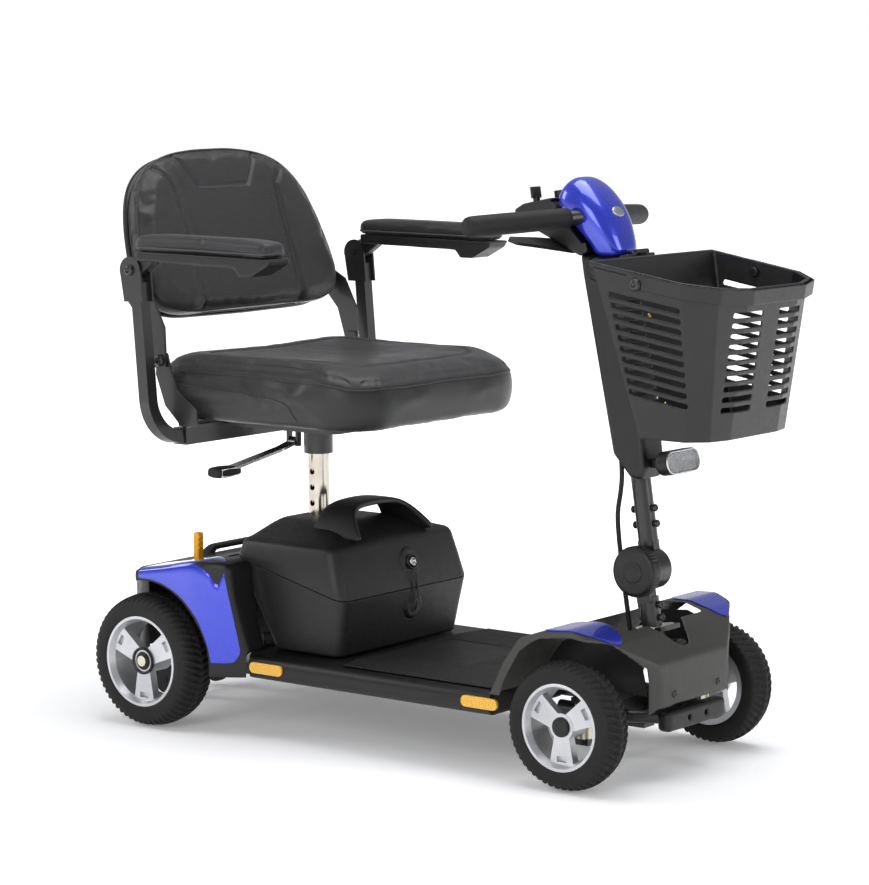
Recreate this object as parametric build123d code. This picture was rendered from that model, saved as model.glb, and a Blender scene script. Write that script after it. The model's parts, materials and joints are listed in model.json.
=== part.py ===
from build123d import *
import math
import os

# Four-wheel travel mobility scooter. +X is the way it travels, +Y is the rider's left,
# +Z is up. Every shape is drawn with x = 0 at the rear axle, and save() then moves it so
# that the origin is under the middle of the whole scooter. Millimetres.
origin_x = 406.4

wheelbase = 738.0
rear_tyre_radius = 100.0
rear_rim_radius = 68.0
rear_wheel_face = 246.0
rear_wheel_width = 60.0
front_tyre_radius = 90.0
front_rim_radius = 60.7
front_wheel_face = 208.0
front_wheel_width = 47.0
kingpin_y = 146.0
kingpin_radius = 7.0

deck_top = 121.0
deck_half_width = 196.0
deck_front = 612.0
mat_thickness = 3.0
wall = 3.0

post_x = 145.0
post_radius = 16.0
seat_hinge = (30.0, 551.0)
arm_y = 258.0
arm_hinge = (16.0, 686.0)
arm_bar = 19.0
arm_rail_x = 42.0
arm_rail_z = 437.0

tilt_x = 745.0
tilt_z = 281.0
tiller_lean = 8.6
tiller = Location((tilt_x, 0, tilt_z)) * Location((0, 0, 0), (0, -tiller_lean, 0))

fit_gap = 0.05
air_gap = 0.4


def block(x0, x1, y0, y1, z0, z1):
    """A box between two corners."""
    middle = Pos((x0 + x1) / 2, (y0 + y1) / 2, (z0 + z1) / 2)
    return middle * Box(x1 - x0, y1 - y0, z1 - z0)


def rod(start, end, radius):
    """A round bar from one point to another."""
    run = Vector(*end) - Vector(*start)
    return Solid.make_cylinder(radius, run.length, Plane(origin=start, z_dir=run))


def bent_bar(points, radius, section, across=None):
    """A section carried along straight runs joined by arcs."""
    path = FilletPolyline(*points, radius=radius)
    start = Plane(origin=path @ 0, x_dir=across, z_dir=path % 0)
    return sweep(start * section, path=path)


def side_prism(points, y0, y1):
    """An outline in X and Z, carried from y0 to y1."""
    face = make_face(Polyline(*[(x, y0, z) for x, z in points], close=True))
    return extrude(face, amount=y1 - y0, dir=(0, 1, 0))


def front_prism(points, x0, x1):
    """An outline in Y and Z, carried from x0 to x1."""
    face = make_face(Polyline(*[(x0, y, z) for y, z in points], close=True))
    return extrude(face, amount=x1 - x0, dir=(1, 0, 0))


def plan_prism(points, z0, z1):
    """An outline in X and Y, carried from z0 to z1."""
    face = make_face(Polyline(*[(x, y, z0) for x, y in points], close=True))
    return extrude(face, amount=z1 - z0, dir=(0, 0, 1))


def both_sides(half):
    """Half an outline in (a, y), completed by its mirror image across y = 0."""
    return half + [(a, -y) for a, y in reversed(half) if y != 0]


def flipped(shape):
    """The same piece on the rider's other side."""
    return mirror(shape, about=Plane.XZ)


def pair(shape):
    """A piece and its twin, as two separate solids."""
    return [shape, flipped(shape)]


def turned(face, x, z):
    """A face drawn in (0, y, r), turned about an axle along Y at (x, z)."""
    return Pos(x, 0, z) * revolve(face, axis=Axis.Y)


def save(name, *solids):
    """Write one node, moved to the scooter's own origin."""
    os.makedirs("parts", exist_ok=True)
    loose = []
    for item in solids:
        loose += list(item) if isinstance(item, list) else [item]
    pieces = [Pos(-origin_x, 0, 0) * solid for shape in loose for solid in shape.solids()]
    whole = pieces[0] if len(pieces) == 1 else Compound(children=pieces)
    export_step(whole, f"parts/{name}.step")


# ---------------------------------------------------------------- wheels

def tyre(face, width, rim_radius, radius, x):
    """Puncture-proof tyre: rounded shoulders and two grooves round the tread."""
    inner = face - width
    seat = rim_radius - 4
    shoulder = radius - 5
    bead = 5
    outline = Polyline((0, face + 1, rim_radius), (0, face - bead, rim_radius), (0, face - bead, seat),
                       (0, inner + bead, seat), (0, inner + bead, rim_radius), (0, inner - 1, rim_radius))
    side_in = ThreePointArc((0, inner - 1, rim_radius), (0, inner - 2, rim_radius + 14), (0, inner + 6, shoulder))
    crown = ThreePointArc((0, inner + 6, shoulder), (0, face - width / 2, radius), (0, face - 6, shoulder))
    side_out = ThreePointArc((0, face - 6, shoulder), (0, face + 2, rim_radius + 14), (0, face + 1, rim_radius))
    body = turned(make_face([*outline.edges(), side_in, crown, side_out]), x, radius)
    for offset in (width / 6, -width / 6):
        middle = face - width / 2 + offset
        groove = Pos(x, middle, radius) * Rot(90, 0, 0) * (Cylinder(radius + 2, 2.4) - Cylinder(radius - 3, 4))
        body -= groove
    return body


def spoke(reach, depth, thickness):
    """One broad spoke that flares into the rim, with a pocket near its outer end."""
    face = make_face(Polyline((12, 0, 13), (20, 0, reach), (-20, 0, reach), (-12, 0, 13), close=True))
    arm = Pos(0, depth, 0) * extrude(face, amount=thickness, dir=(0, -1, 0))
    pocket = block(-8, 8, depth - 5, depth + 1, reach - 13, reach - 5)
    return arm - pocket


def rim(face, width, radius, bore, hub_in, x, z):
    """Three-spoke wheel centre: barrel, two lips, broad spokes and a bored hub."""
    inner = face - width
    seat = radius - 4
    barrel = radius - 8
    outline = [(face, radius), (face - 5, radius), (face - 5, seat), (inner + 5, seat), (inner + 5, radius),
               (inner, radius), (inner, barrel), (face - 9, barrel - 1), (face, radius - 4)]
    body = revolve(make_face(Polyline(*[(0, y, r) for y, r in outline], close=True)), axis=Axis.Y)
    web = rod((0, inner, 0), (0, face, 0), seat - 1)
    for turn in (180, 60, -60):
        body += (Rot(0, turn, 0) * spoke(barrel + 1, face - 8, 13)) & web
    hub = Pos(0, (face - 7 + hub_in) / 2, 0) * Rot(90, 0, 0) * Cylinder(19, face - 7 - hub_in)
    body += hub
    body -= Pos(0, face - 9, 0) * Rot(90, 0, 0) * Cylinder(14, 5)
    body -= Pos(0, face, 0) * Rot(90, 0, 0) * Cylinder(bore, 4 * width)
    return Pos(x, 0, z) * body


def rear_wheels():
    """Driven wheels on their half shafts."""
    left_tyre = tyre(rear_wheel_face, rear_wheel_width, rear_rim_radius, rear_tyre_radius, 0)
    left_rim = rim(rear_wheel_face, rear_wheel_width, rear_rim_radius, 8, 196, 0, rear_tyre_radius)
    shaft = rod((0, 70, rear_tyre_radius), (0, 243, rear_tyre_radius), 8)
    washer = rod((0, 234.5, rear_tyre_radius), (0, 236.5, rear_tyre_radius), 13)
    nut = Pos(0, 236.5, rear_tyre_radius) * Rot(-90, 0, 0) * extrude(RegularPolygon(7.5, 6), amount=5)
    half_shaft = shaft + washer + nut
    save("rear_tyre_left", left_tyre)
    save("rear_tyre_right", flipped(left_tyre))
    save("rear_rim_left", left_rim)
    save("rear_rim_right", flipped(left_rim))
    save("rear_axle_left", half_shaft)
    save("rear_axle_right", flipped(half_shaft))


def front_wheels():
    """Steered wheels, each on a knuckle with a stub axle, a king pin and a steering arm."""
    z = front_tyre_radius
    left_tyre = tyre(front_wheel_face, front_wheel_width, front_rim_radius, front_tyre_radius, wheelbase)
    left_rim = rim(front_wheel_face, front_wheel_width, front_rim_radius, 6 + fit_gap, 168, wheelbase, z)
    stub = rod((wheelbase, kingpin_y, z), (wheelbase, 201, z), 6)
    cap = rod((wheelbase, 197.6, z), (wheelbase, 203, z), 11.5)
    yoke = rod((wheelbase, kingpin_y, z - 24), (wheelbase, kingpin_y, z + 24), 13)
    yoke -= rod((wheelbase, kingpin_y, z - 40), (wheelbase, kingpin_y, z + 40), kingpin_radius + fit_gap)
    arm = block(wheelbase - 56, wheelbase - 8, kingpin_y - 16, kingpin_y - 4, z - 24, z - 16)
    stub_outside = stub - rod((wheelbase, kingpin_y, z - 40), (wheelbase, kingpin_y, z + 40), 11)
    knuckle = yoke + stub_outside + cap + arm
    save("front_tyre_left", left_tyre)
    save("front_tyre_right", flipped(left_tyre))
    save("front_rim_left", left_rim)
    save("front_rim_right", flipped(left_rim))
    save("steering_knuckle_left", knuckle)
    save("steering_knuckle_right", flipped(knuckle))


def tie_rod():
    """Rod under the two steering arms, with a stud at each end and a fork for the steering pin."""
    z = front_tyre_radius - 34
    x = wheelbase - 48
    y = kingpin_y - 10
    bar = rod((x, -y, z), (x, y, z), 5)
    studs = pair(rod((x, y, z - 6), (x, y, front_tyre_radius - 24 - air_gap), 6.5))
    fork = block(688, 747, -13, 13, z, z + 5) - block(716, 742, -4.7, 4.7, z - 1, z + 6)
    save("tie_rod", bar + studs[0] + studs[1] + fork)


# ---------------------------------------------------------------- frame and covers

def main_frame():
    """Welded steel frame: spine, seat-post socket, front axle beam, head tube and rear arms."""
    spine = block(48, 735, -20, 20, 88, 114)
    rails = pair(bent_bar([(640, 64, 84), (760, 64, 84), (806, 40, 84)], 20, Circle(9)))
    cross = rod((690, -64, 84), (690, 64, 84), 8)
    socket = rod((post_x, 0, 88), (post_x, 0, 262), 21)
    beam = block(wheelbase - 14, wheelbase + 14, -126, 126, 84, 108)
    ears = []
    for z in (front_tyre_radius + 24 + air_gap, front_tyre_radius - 32 - air_gap):
        ear = block(wheelbase - 14, wheelbase + 14, 118, kingpin_y + 12, z, z + 8)
        ears += pair(ear)
    web = pair(block(wheelbase + 1, wheelbase + 14, 116, 126, 58, 122))
    pins = pair(rod((wheelbase, kingpin_y, 56), (wheelbase, kingpin_y, 124), kingpin_radius))
    head = tiller * rod((0, 0, -190), (0, 0, -104), 19)
    head -= tiller * rod((0, 0, -200), (0, 0, -90), 12.5 + fit_gap)
    head_web = block(735, 790, -20, 20, 88, 108)
    head_web -= tiller * rod((0, 0, -230), (0, 0, -90), 12.5 + fit_gap)
    tail_arms = pair(block(-60, 60, 40, 50, 54, 66))
    tail_posts = pair(block(48, 70, 18, 50, 54, 96))
    wheel_arms = pair(side_prism([(-128, 22), (-112, 22), (-50, 56), (-50, 66), (-66, 66), (-128, 34)], 40, 50))
    body = spine + rails[0] + rails[1] + cross + socket + beam + head + head_web
    for piece in ears + web + pins + tail_arms + tail_posts + wheel_arms:
        body += piece
    body -= rod((post_x, 0, 96), (post_x, 0, 300), post_radius + fit_gap)
    body -= rod((-120, -80, 28), (-120, 80, 28), 4 + fit_gap)
    save("main_frame", body)


def anti_tip_wheels():
    """Two small rollers behind the rear axle, on one short axle."""
    rollers = pair(rod((-120, 51, 28), (-120, 63, 28), 22))
    axle = rod((-120, -64, 28), (-120, 64, 28), 4)
    save("anti_tip_wheels", rollers[0] + rollers[1] + axle)


def transaxle():
    """Gear case with two axle tubes, and the motor with its electromagnetic brake."""
    z = rear_tyre_radius
    case = rod((0, -29, z), (0, 29, z), 45)
    tubes = rod((0, -150, z), (0, 150, z), 19)
    flange = block(20, 48, -18, 18, 90, 112)
    lug = block(30, 38, -142, -138, 96, 222) + rod((34, -141, 215), (34, -158, 215), 3)
    lug += block(0, 38, -142, -138, 96, 106)
    body = case + tubes + flange + lug
    body -= rod((0, 69, z), (0, 151, z), 8 + fit_gap)
    body -= rod((0, -69, z), (0, -151, z), 8 + fit_gap)
    save("transaxle_case", body)
    motor = rod((-16, 0, 168), (-80, 0, 156), 29)
    brake = rod((-80, 0, 156), (-92, 0, 153.8), 24)
    save("drive_motor", motor + brake - rod((0, -30, z), (0, 30, z), 45))


def deck():
    """Moulded floor pan with rounded edges, its rubber mat and four side reflectors."""
    half = [(150, 0), (150, 150), (160, 180), (172, deck_half_width), (deck_front, deck_half_width), (deck_front, 0)]
    pan = plan_prism(both_sides(half), 86, deck_top)
    long_edges = pan.edges().filter_by(Axis.X).filter_by(lambda e: abs(e.center().Y) > 190)
    pan = fillet(long_edges, 15)
    hollow = block(160, deck_front - 4, -176, 176, 80, deck_top - wall)
    pan -= hollow
    pan -= block(100, 700, -20.4, 20.4, 60, 114.4)
    pan -= rod((post_x, 0, 60), (post_x, 0, 160), 21.4)
    ribs = []
    for x in (260, 420, 560):
        ribs += pair(block(x, x + 4, 20.4, 177, 96, deck_top - wall + 0.5))
    for rib in ribs:
        pan += rib
    mat_half = [(322, 0), (322, 120), (336, 178), (deck_front - 3, 178), (deck_front - 3, 0)]
    mat = plan_prism(both_sides(mat_half), deck_top, deck_top + mat_thickness)
    reflectors = []
    for x, length in ((206, 62), (596, 62)):
        lens = block(x - length / 2, x + length / 2, deck_half_width - 2, deck_half_width + 2.5, 97, 113)
        lens = fillet(lens.edges().filter_by(Axis.Y), 7.5)
        reflectors += pair(lens)
    for lens in reflectors:
        pan -= lens
    save("deck_pan", pan)
    save("deck_mat", mat)
    save("side_reflectors", reflectors)


def hollow_cover(side, half_plan, z_low, z_high, half_width):
    """A moulded cover: a side outline crossed with a plan outline, hollow and open below."""
    outer = side_prism(side, -half_width, half_width) & plan_prism(both_sides(half_plan), z_low, z_high)
    side_face = make_face(Polyline(*[(x, 0, z) for x, z in side], close=True))
    plan_face = make_face(Polyline(*[(x, y, 0) for x, y in both_sides(half_plan)], close=True))
    side_in = offset(side_face, amount=-wall)
    plan_in = offset(plan_face, amount=-wall)
    core = extrude(side_in, amount=half_width, dir=(0, 1, 0), both=True)
    core = core & extrude(plan_in, amount=z_high, dir=(0, 0, 1))
    drop = Pos(0, 0, -wall - 4) * core
    return outer - core - drop


rear_side = [(-104, 84), (-104, 196), (-96, 212), (-80, 224), (-40, 233), (-10, 237), (30, 244), (66, 252),
             (100, 258), (132, 259), (146, 255), (150, 247), (151, 230), (156, 195), (165, 150), (172, 124),
             (174, 112), (174, 84)]
rear_plan = [(-104, 0), (-104, 128), (-100, 142), (-90, 156), (-64, 172), (-24, 184), (-24, 232), (96, 232),
             (118, 228), (138, 219), (154, 209), (166, 201), (174, 197), (174, 0)]


def wheel_arch(x, z, radius, y0, y1):
    """The round space that a wheel turns in."""
    return rod((x, y0, z), (x, y1, z), radius)


def rear_cover():
    """Shroud over the drive, with arched mudguards, a lever slot and a lift handle."""
    cover = hollow_cover(rear_side, rear_plan, 84, 270, 260)
    for side in (1, -1):
        arch = wheel_arch(0, rear_tyre_radius, 117, side * 176, side * 262)
        cover -= arch
        cover -= block(-120, 20, min(side * 176, side * 262), max(side * 176, side * 262), 60, 214)
    pack_room = side_prism([(99, 280), (99, 256), (163, 119), (163, 60), (240, 60), (240, 280)], -157, 157)
    cover -= pack_room
    cover -= block(150, 240, -198, 198, 60, 121.4)
    cover -= block(14, 62, -157, -143, 200, 300)
    cover -= rod((post_x, 0, 60), (post_x, 0, 300), 22)
    cover -= block(-130, 110, -150, 150, 60, 92)
    for side in (1, -1):
        cover -= rod((0, side * 100, rear_tyre_radius), (0, side * 170, rear_tyre_radius), 19.4)
    dish = block(-62, 24, -66, 66, 226, 300)
    dish = fillet(dish.edges().filter_by(Axis.Z), 24)
    tray = block(-62, 24, -66, 66, 223, 226) & hollow_cover_fill()
    cover = cover - dish + tray
    handle = bent_bar([(-18, -84, 236), (-18, -60, 248), (-18, 60, 248), (-18, 84, 236)], 16, Rectangle(9, 22))
    cover += handle
    main = max(cover.solids(), key=lambda s: s.volume)
    save("rear_shroud", main)


def hollow_cover_fill():
    """The space that the rear cover's side outline encloses."""
    return side_prism(rear_side, -260, 260)


front_side = [(612, 84), (612, 120), (636, 168), (664, 206), (700, 224), (742, 228), (772, 214), (800, 188),
              (822, 168), (827, 108), (800, 84)]
front_plan = [(612, 0), (612, 198), (716, 198), (764, 184), (800, 128), (824, 84), (828, 0)]


def front_cover():
    """Nose and front mudguards in one moulding, open round the steering column."""
    cover = hollow_cover(front_side, front_plan, 84, 240, 210)
    well = [(622, 40), (624, 90), (640, 140), (666, 184), (700, 208), (744, 213), (784, 200), (812, 160), (834, 96),
            (834, 40)]
    for y0, y1 in ((102, 212), (-212, -102)):
        cover -= side_prism(well, y0, y1)
    cover -= block(660, 810, -101, 101, 40, 118)
    cover -= block(600, 660, -199, 199, 40, 118)
    throat = [(690, 0), (690, 44), (770, 40), (806, 8), (806, 0)]
    cover -= plan_prism(both_sides(throat), 150, 240)
    top_room = block(600, 770, -98, 98, 203, 240)
    cover -= top_room
    sill = block(676, 772, 46, 98.5, 200, 203.2)
    cover = cover + sill + flipped(sill)
    main = max(cover.solids(), key=lambda s: s.volume)
    save("front_fairing", main)


def front_bumper():
    """Bumper bar with rounded ends and two holes for a trailer hitch or a tie-down plate."""
    bar = block(807, 829, -74, 74, 70, 98)
    bar = fillet(bar.edges().filter_by(Axis.Y), 6)
    bar = fillet(bar.edges().filter_by(Axis.Z), 9)
    for y in (-21.2, 21.2):
        bar -= rod((790, y, 84), (840, y, 84), 4)
    room = block(800, 812, -50, 50, 74, 94)
    save("front_bumper", bar - room)


def body_inlays():
    """Glossy coloured panels let into the mudguards: on the rear flanks and on the front tops."""
    plan_face = make_face(Polyline(*[(x, y, 60) for x, y in both_sides(rear_plan)], close=True))
    band = extrude(offset(plan_face, amount=2.2), amount=220) - extrude(offset(plan_face, amount=0.2), amount=220)
    rear_outline = [(-14, 226), (20, 236), (66, 246), (100, 251), (132, 251), (141, 245), (142, 228), (147, 194),
                    (157, 148), (163, 120), (156, 108), (128, 108), (126, 128), (118, 156), (104, 180), (82, 202),
                    (52, 219), (16, 227)]
    rear = band & side_prism(rear_outline, 150, 270)
    side_face = make_face(Polyline(*[(x, 60, z) for x, z in front_side], close=True))
    cap = extrude(offset(side_face, amount=2), amount=160, dir=(0, 1, 0))
    cap -= extrude(offset(side_face, amount=0.2), amount=160, dir=(0, 1, 0))
    front_outline = [(690, 110), (700, 186), (742, 188), (766, 174), (794, 122), (776, 104), (742, 112)]
    front = cap & plan_prism(front_outline, 160, 260)
    save("body_inlays", pair(rear) + pair(front))


# ---------------------------------------------------------------- battery pack

def pack_body(inset):
    """The battery pack's outer form, or the space inside it when inset is over 0."""
    side = [(170, 123), (301, 123), (315, 208), (294, 279), (262, 300), (230, 307), (120, 307), (110, 290),
            (107, 258)]
    front = [(-143, 123), (143, 123), (153, 208), (153, 258), (144, 282), (62, 307), (-62, 307), (-144, 282),
             (-153, 258), (-153, 208)]
    side_face = offset(make_face(Polyline(*[(x, 0, z) for x, z in side], close=True)), amount=-inset)
    front_face = offset(make_face(Polyline(*[(0, y, z) for y, z in front], close=True)), amount=-inset)
    plan_face = Pos((107 + 315) / 2, 0, 0) * RectangleRounded(208 - 2 * inset, 308 - 2 * inset, 19 - inset)
    body = extrude(side_face, amount=200, dir=(0, 1, 0), both=True)
    body = body & extrude(front_face, amount=400, dir=(1, 0, 0))
    body = body & extrude(plan_face, amount=400, dir=(0, 0, 1))
    notch = block(60, 174 + inset, -27 - inset, 27 + inset, 60, 400)
    return body - fillet(notch.edges().filter_by(Axis.Z), 12)


def pack_split(z_shift):
    """Everything above the slanting joint between the pack's base and its lid."""
    rear, front = 259 + z_shift, 208 + z_shift
    return side_prism([(90, rear + 4), (107, rear), (315, front), (330, front - 4), (330, 400), (90, 400)], -200, 200)


def battery_pack():
    """Lift-out battery pack: tub, lid with a carry handle and charge plate, cells, socket."""
    outer = pack_body(0)
    inner = pack_body(wall)
    shell = outer - inner
    lid = shell & pack_split(0.3)
    tub = shell - pack_split(-0.3)
    handle_side = [(196, 294), (290, 284), (262, 318), (236, 337), (214, 337), (204, 318)]
    handle = side_prism(handle_side, -78, 78)
    arch_outer = front_prism([(-86, 280), (-78, 294), (-60, 322), (-34, 335), (0, 339), (34, 335), (60, 322),
                              (78, 294), (86, 280)], 180, 300)
    arch_inner = front_prism([(-52, 270), (-52, 308), (-30, 322), (0, 326), (30, 322), (52, 308), (52, 270)], 180, 300)
    grip = (handle & arch_outer) - arch_inner
    grip -= pack_body(1.0)
    plate = side_prism([(297, 266), (303, 268), (324, 206), (306, 150), (300, 152), (314, 206)], -2, 38)
    corners = plan_prism([(280, -2), (340, -2), (340, 38), (280, 38)], 140, 280)
    plate = plate & corners
    lid_plate = plate - outer
    lid_plate -= Pos(306, 18, 246) * Rot(0, 72, 0) * Cylinder(8.2, 60)
    lid_plate -= Pos(312, 18, 172) * Rot(0, 90, 0) * Cylinder(7, 12)
    lid += grip
    lid = max(lid.solids(), key=lambda s: s.volume)
    plate_main = max(lid_plate.solids(), key=lambda s: s.volume)
    save("battery_lid", lid, plate_main)
    save("battery_tub", tub)
    cells = pair(block(186, 292, 40, 128, 128, 200))
    save("battery_cells", cells)
    socket = Pos(306, 18, 246) * Rot(0, 90 - 18, 0) * (Cylinder(7.6, 12) - Pos(0, 0, 4) * Cylinder(5, 6))
    save("charge_socket", socket - outer)


# ---------------------------------------------------------------- steering column and tiller

def steering_column():
    """Stem in the head tube, clamp plate, lower tube, half of the tilt joint and steering arm."""
    stem = rod((0, 0, -200), (0, 0, -84), 12.5)
    plate = block(-24, 30, -24, 22, -86, -80)
    plate = fillet(plate.edges().filter_by(Axis.Z), 8)
    tube = rod((0, -8, -80), (0, -8, -38), 14) + block(-11, 11, -22, -4.6, -46, 0)
    half = rod((0, -22, 0), (0, -4.6, 0), 29)
    bolts = [rod((-18, -8, s), (18, -8, s), 3.6) for s in (-50, -68)]
    arm = block(-56, 8, -9, 9, -206, -198)
    pin = rod((-48, 0, -219), (-48, 0, -200), 3)
    body = stem + plate + tube + half + arm + pin
    for bolt in bolts:
        body += bolt
    body -= rod((0, -60, 0), (0, 60, 0), 5 + fit_gap)
    save("steering_column", tiller * body)


def adjuster_knob():
    """Big hand knob that clamps the tilt joint, with four fluted grip zones."""
    knob = rod((0, -40, 0), (0, -22.6, 0), 36)
    knob = fillet(knob.edges().sort_by(Axis.Y)[0], 7)
    for zone in range(4):
        for step in range(-3, 4):
            angle = math.radians(zone * 90 + 45 + step * 8)
            x, s = 36.4 * math.cos(angle), 36.4 * math.sin(angle)
            knob -= rod((x, -42, s), (x, -20, s), 1.6)
    bolt = rod((0, -24, 0), (0, 20, 0), 5)
    save("adjuster_knob", tiller * (knob + bolt))


def tiller_tube():
    """Upper tube with its half of the tilt joint and two pinch bolts."""
    half = rod((0, -4.2, 0), (0, 15, 0), 29)
    neck = block(-13, 13, 0, 15, 0, 40)
    tube = rod((0, 8, 32), (0, 8, 486), 14)
    body = half + neck + tube
    for s in (62, 84):
        body += rod((-18, 8, s), (18, 8, s), 3.6)
    body -= rod((0, -60, 0), (0, 60, 0), 5 + fit_gap)
    save("tiller_tube", tiller * body)


cover_side = [(-20, 166), (-34, 420), (-34, 448), (34, 436), (36, 300), (32, 140), (22, 126), (4, 130)]
cowl_side = [(35, 438), (29, 480), (10, 526), (-8, 546), (-27, 555), (-48, 549), (-64, 526), (-56, 514), (-13, 452)]
cowl_front = [(0, 557), (20, 554), (36, 543), (45, 522), (47, 500), (42, 476), (33, 448), (31, 436), (0, 436)]
cable_route = [(-12, -16, 172), (-12, -16, 130), (-34, -14, 80), (-34, -14, 4)]
bar_points = [(-84, -210, 500), (-10, -20, 498), (-10, 20, 498), (-84, 210, 500)]


def tiller_cover():
    """Moulded tiller cover, deeper towards the top, with the basket rail and a side boss."""
    shell = side_prism(cover_side, -27, 27)
    shell = fillet(shell.edges().filter_by(lambda e: abs(e.center().Y) > 26.5), 7)
    core = side_prism([(-14, 176), (-30, 420), (-30, 436), (30, 430), (32, 300), (28, 146), (20, 134), (6, 136)],
                      -23, 23)
    shell -= core
    shell -= rod((0, 8, 100), (0, 8, 500), 14)
    shell -= bent_bar(cable_route, 18, Circle(3.9))
    rail = block(34, 46, -28, 28, 380, 432)
    boss = rod((-5, -30, 424), (-5, -26, 424), 17) + rod((-5, -33, 424), (-5, -29, 424), 11)
    save("tiller_cover", tiller * (shell + rail + boss))


def cowl_block():
    """The head cowl's outer form: its side outline crossed with its front outline."""
    front = [(y, s) for y, s in cowl_front] + [(-y, s) for y, s in reversed(cowl_front) if y > 0]
    form = side_prism(cowl_side, -60, 60) & front_prism(front, -120, 60)
    return form - side_prism(cover_side, -28, 28)


def head():
    """Glossy cowl, handlebar with soft grips, console, throttle lever, key and speed dial."""
    outer = cowl_block()
    core_side = [(31, 430), (25, 478), (6, 522), (-10, 541), (-27, 550), (-45, 545), (-58, 526), (-50, 514), (-9, 452)]
    core = side_prism(core_side, -60, 60) & front_prism([(-28, 430), (-38, 480), (-42, 502), (-40, 520), (-32, 539),
                                                         (-16, 550), (16, 550), (32, 539), (40, 520), (42, 502),
                                                         (38, 480), (28, 430)], -120, 60)
    bar_room = bent_bar(bar_points, 30, Circle(16))
    cowl = outer - core - bar_room - side_prism(cover_side, -28, 28) - rod((0, 8, 400), (0, 8, 486), 14.2)
    cowl = max(cowl.solids(), key=lambda s: s.volume)
    save("head_cowl", tiller * cowl)

    bar = bent_bar(bar_points, 30, Circle(11)) + block(-24, 6, -15, 15, 486.2, 510)
    save("handlebar", tiller * bar)
    outer_end = Vector(-84, -210, 500)
    inner_end = Vector(-10, -20, 498)
    reach = (inner_end - outer_end).normalized()
    sleeve = rod(tuple(outer_end - reach * 5), tuple(outer_end + reach * 164), 14.5)
    sleeve = fillet(sleeve.edges().sort_by(Axis.Y)[0], 10)
    sleeve -= bent_bar(bar_points, 30, Circle(11))
    save("hand_grips", [tiller * solid for solid in pair(sleeve)])

    desk_side = [(-25.6, 444.6), (-118.1, 504.2), (-129, 513), (-127, 523), (-112, 529), (-62, 531), (-44, 520),
                 (-12, 470), (-12, 450)]
    desk = side_prism(desk_side, -38, 38)
    desk = fillet(desk.edges().filter_by(Axis.Y).group_by(Axis.X)[0], 3)
    desk = desk - outer - side_prism(cover_side, -28, 28) - bar_room - rod((0, 8, 400), (0, 8, 520), 14.2)
    under = Location(Plane(origin=(-34, 0, 450), x_dir=(-0.8406, 0, 0.5417), z_dir=(-0.5417, 0, -0.8406)))
    desk -= under * rod((26, 0, -14), (26, 0, 2), 4 + fit_gap)
    desk -= rod((-104, -14, 518), (-104, -14, 540), 5.4)
    desk -= rod((-80, 12, 520), (-80, 12, 540), 3 + fit_gap)
    desk = max(desk.solids(), key=lambda s: s.volume)
    save("console", tiller * desk)

    wing = both_sides([(8, 0), (8, 28), (26, 70), (44, 116), (56, 122), (62, 112), (54, 60), (46, 24), (46, 0)])
    paddle = plan_prism(wing, 0.6, 5)
    paddle = paddle + rod((26, 0, -12), (26, 0, 3), 4)
    save("throttle_lever", tiller * (under * paddle))

    key = rod((-104, -14, 519), (-104, -14, 537), 5) + block(-106, -102, -24, -4, 535, 551)
    save("key", tiller * key)
    dial = rod((-80, 12, 531.4), (-80, 12, 542), 9) + rod((-80, 12, 521), (-80, 12, 533), 3)
    dial -= block(-90, -81, 11, 13, 540, 543)
    save("speed_dial", tiller * dial)


def headlight():
    """Oval lamp on a bracket at the foot of the cover, with its lens."""
    facing = Pos(58, 0, 146) * Rot(0, 90, 0) * Rot(0, 0, 90)
    body = facing * extrude(SlotOverall(84, 34), amount=21)
    body = fillet(body.edges().group_by(Axis.X)[0], 6)
    body += block(30, 60, -9, 9, 140, 152)
    body += rod((46, 0, 150), (46, 0, 156), 5)
    body -= Pos(15, 0, 0) * facing * extrude(SlotOverall(79, 29), amount=10)
    body -= side_prism(cover_side, -27, 27)
    lens = Pos(15.3, 0, 0) * facing * extrude(SlotOverall(78, 28), amount=6.5)
    save("headlight_housing", tiller * body)
    save("headlight_lens", tiller * lens)


def control_cable():
    """Sheathed wiring from the tiller to the base, in two lengths that part at the tilt joint."""
    upper = bent_bar(cable_route, 18, Circle(3.5))
    lower = bent_bar([(-34, -14, -22), (-34, -14, -90), (-30, -14, -156)], 18, Circle(3.5))
    save("cable_upper", tiller * upper)
    save("cable_lower", tiller * lower)


# ---------------------------------------------------------------- basket

basket_low = [(806, 0), (806, 114), (880, 118), (906, 96), (915, 60), (915, 0)]
basket_high = [(746, 0), (746, 155), (892, 151), (936, 118), (955, 66), (955, 0)]
rim_slope = math.degrees(math.atan(0.171))


def basket_form(grow, floor):
    """The basket's tapering form, grown or shrunk all round."""
    low = make_face(Polyline(*[(x, y, 0) for x, y in both_sides(basket_low)], close=True))
    high = make_face(Polyline(*[(x, y, 0) for x, y in both_sides(basket_high)], close=True))
    low = Pos(0, 0, floor) * offset(low, amount=grow)
    high = Pos(0, 0, 740) * offset(high, amount=grow)
    return loft([low, high])


def above_rim(drop):
    """Everything above the sloping rim plane, lowered by drop."""
    return Pos(751, 0, 719.6 - drop) * Rot(0, rim_slope, 0) * Pos(0, 0, 150) * Box(900, 700, 300)


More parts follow.
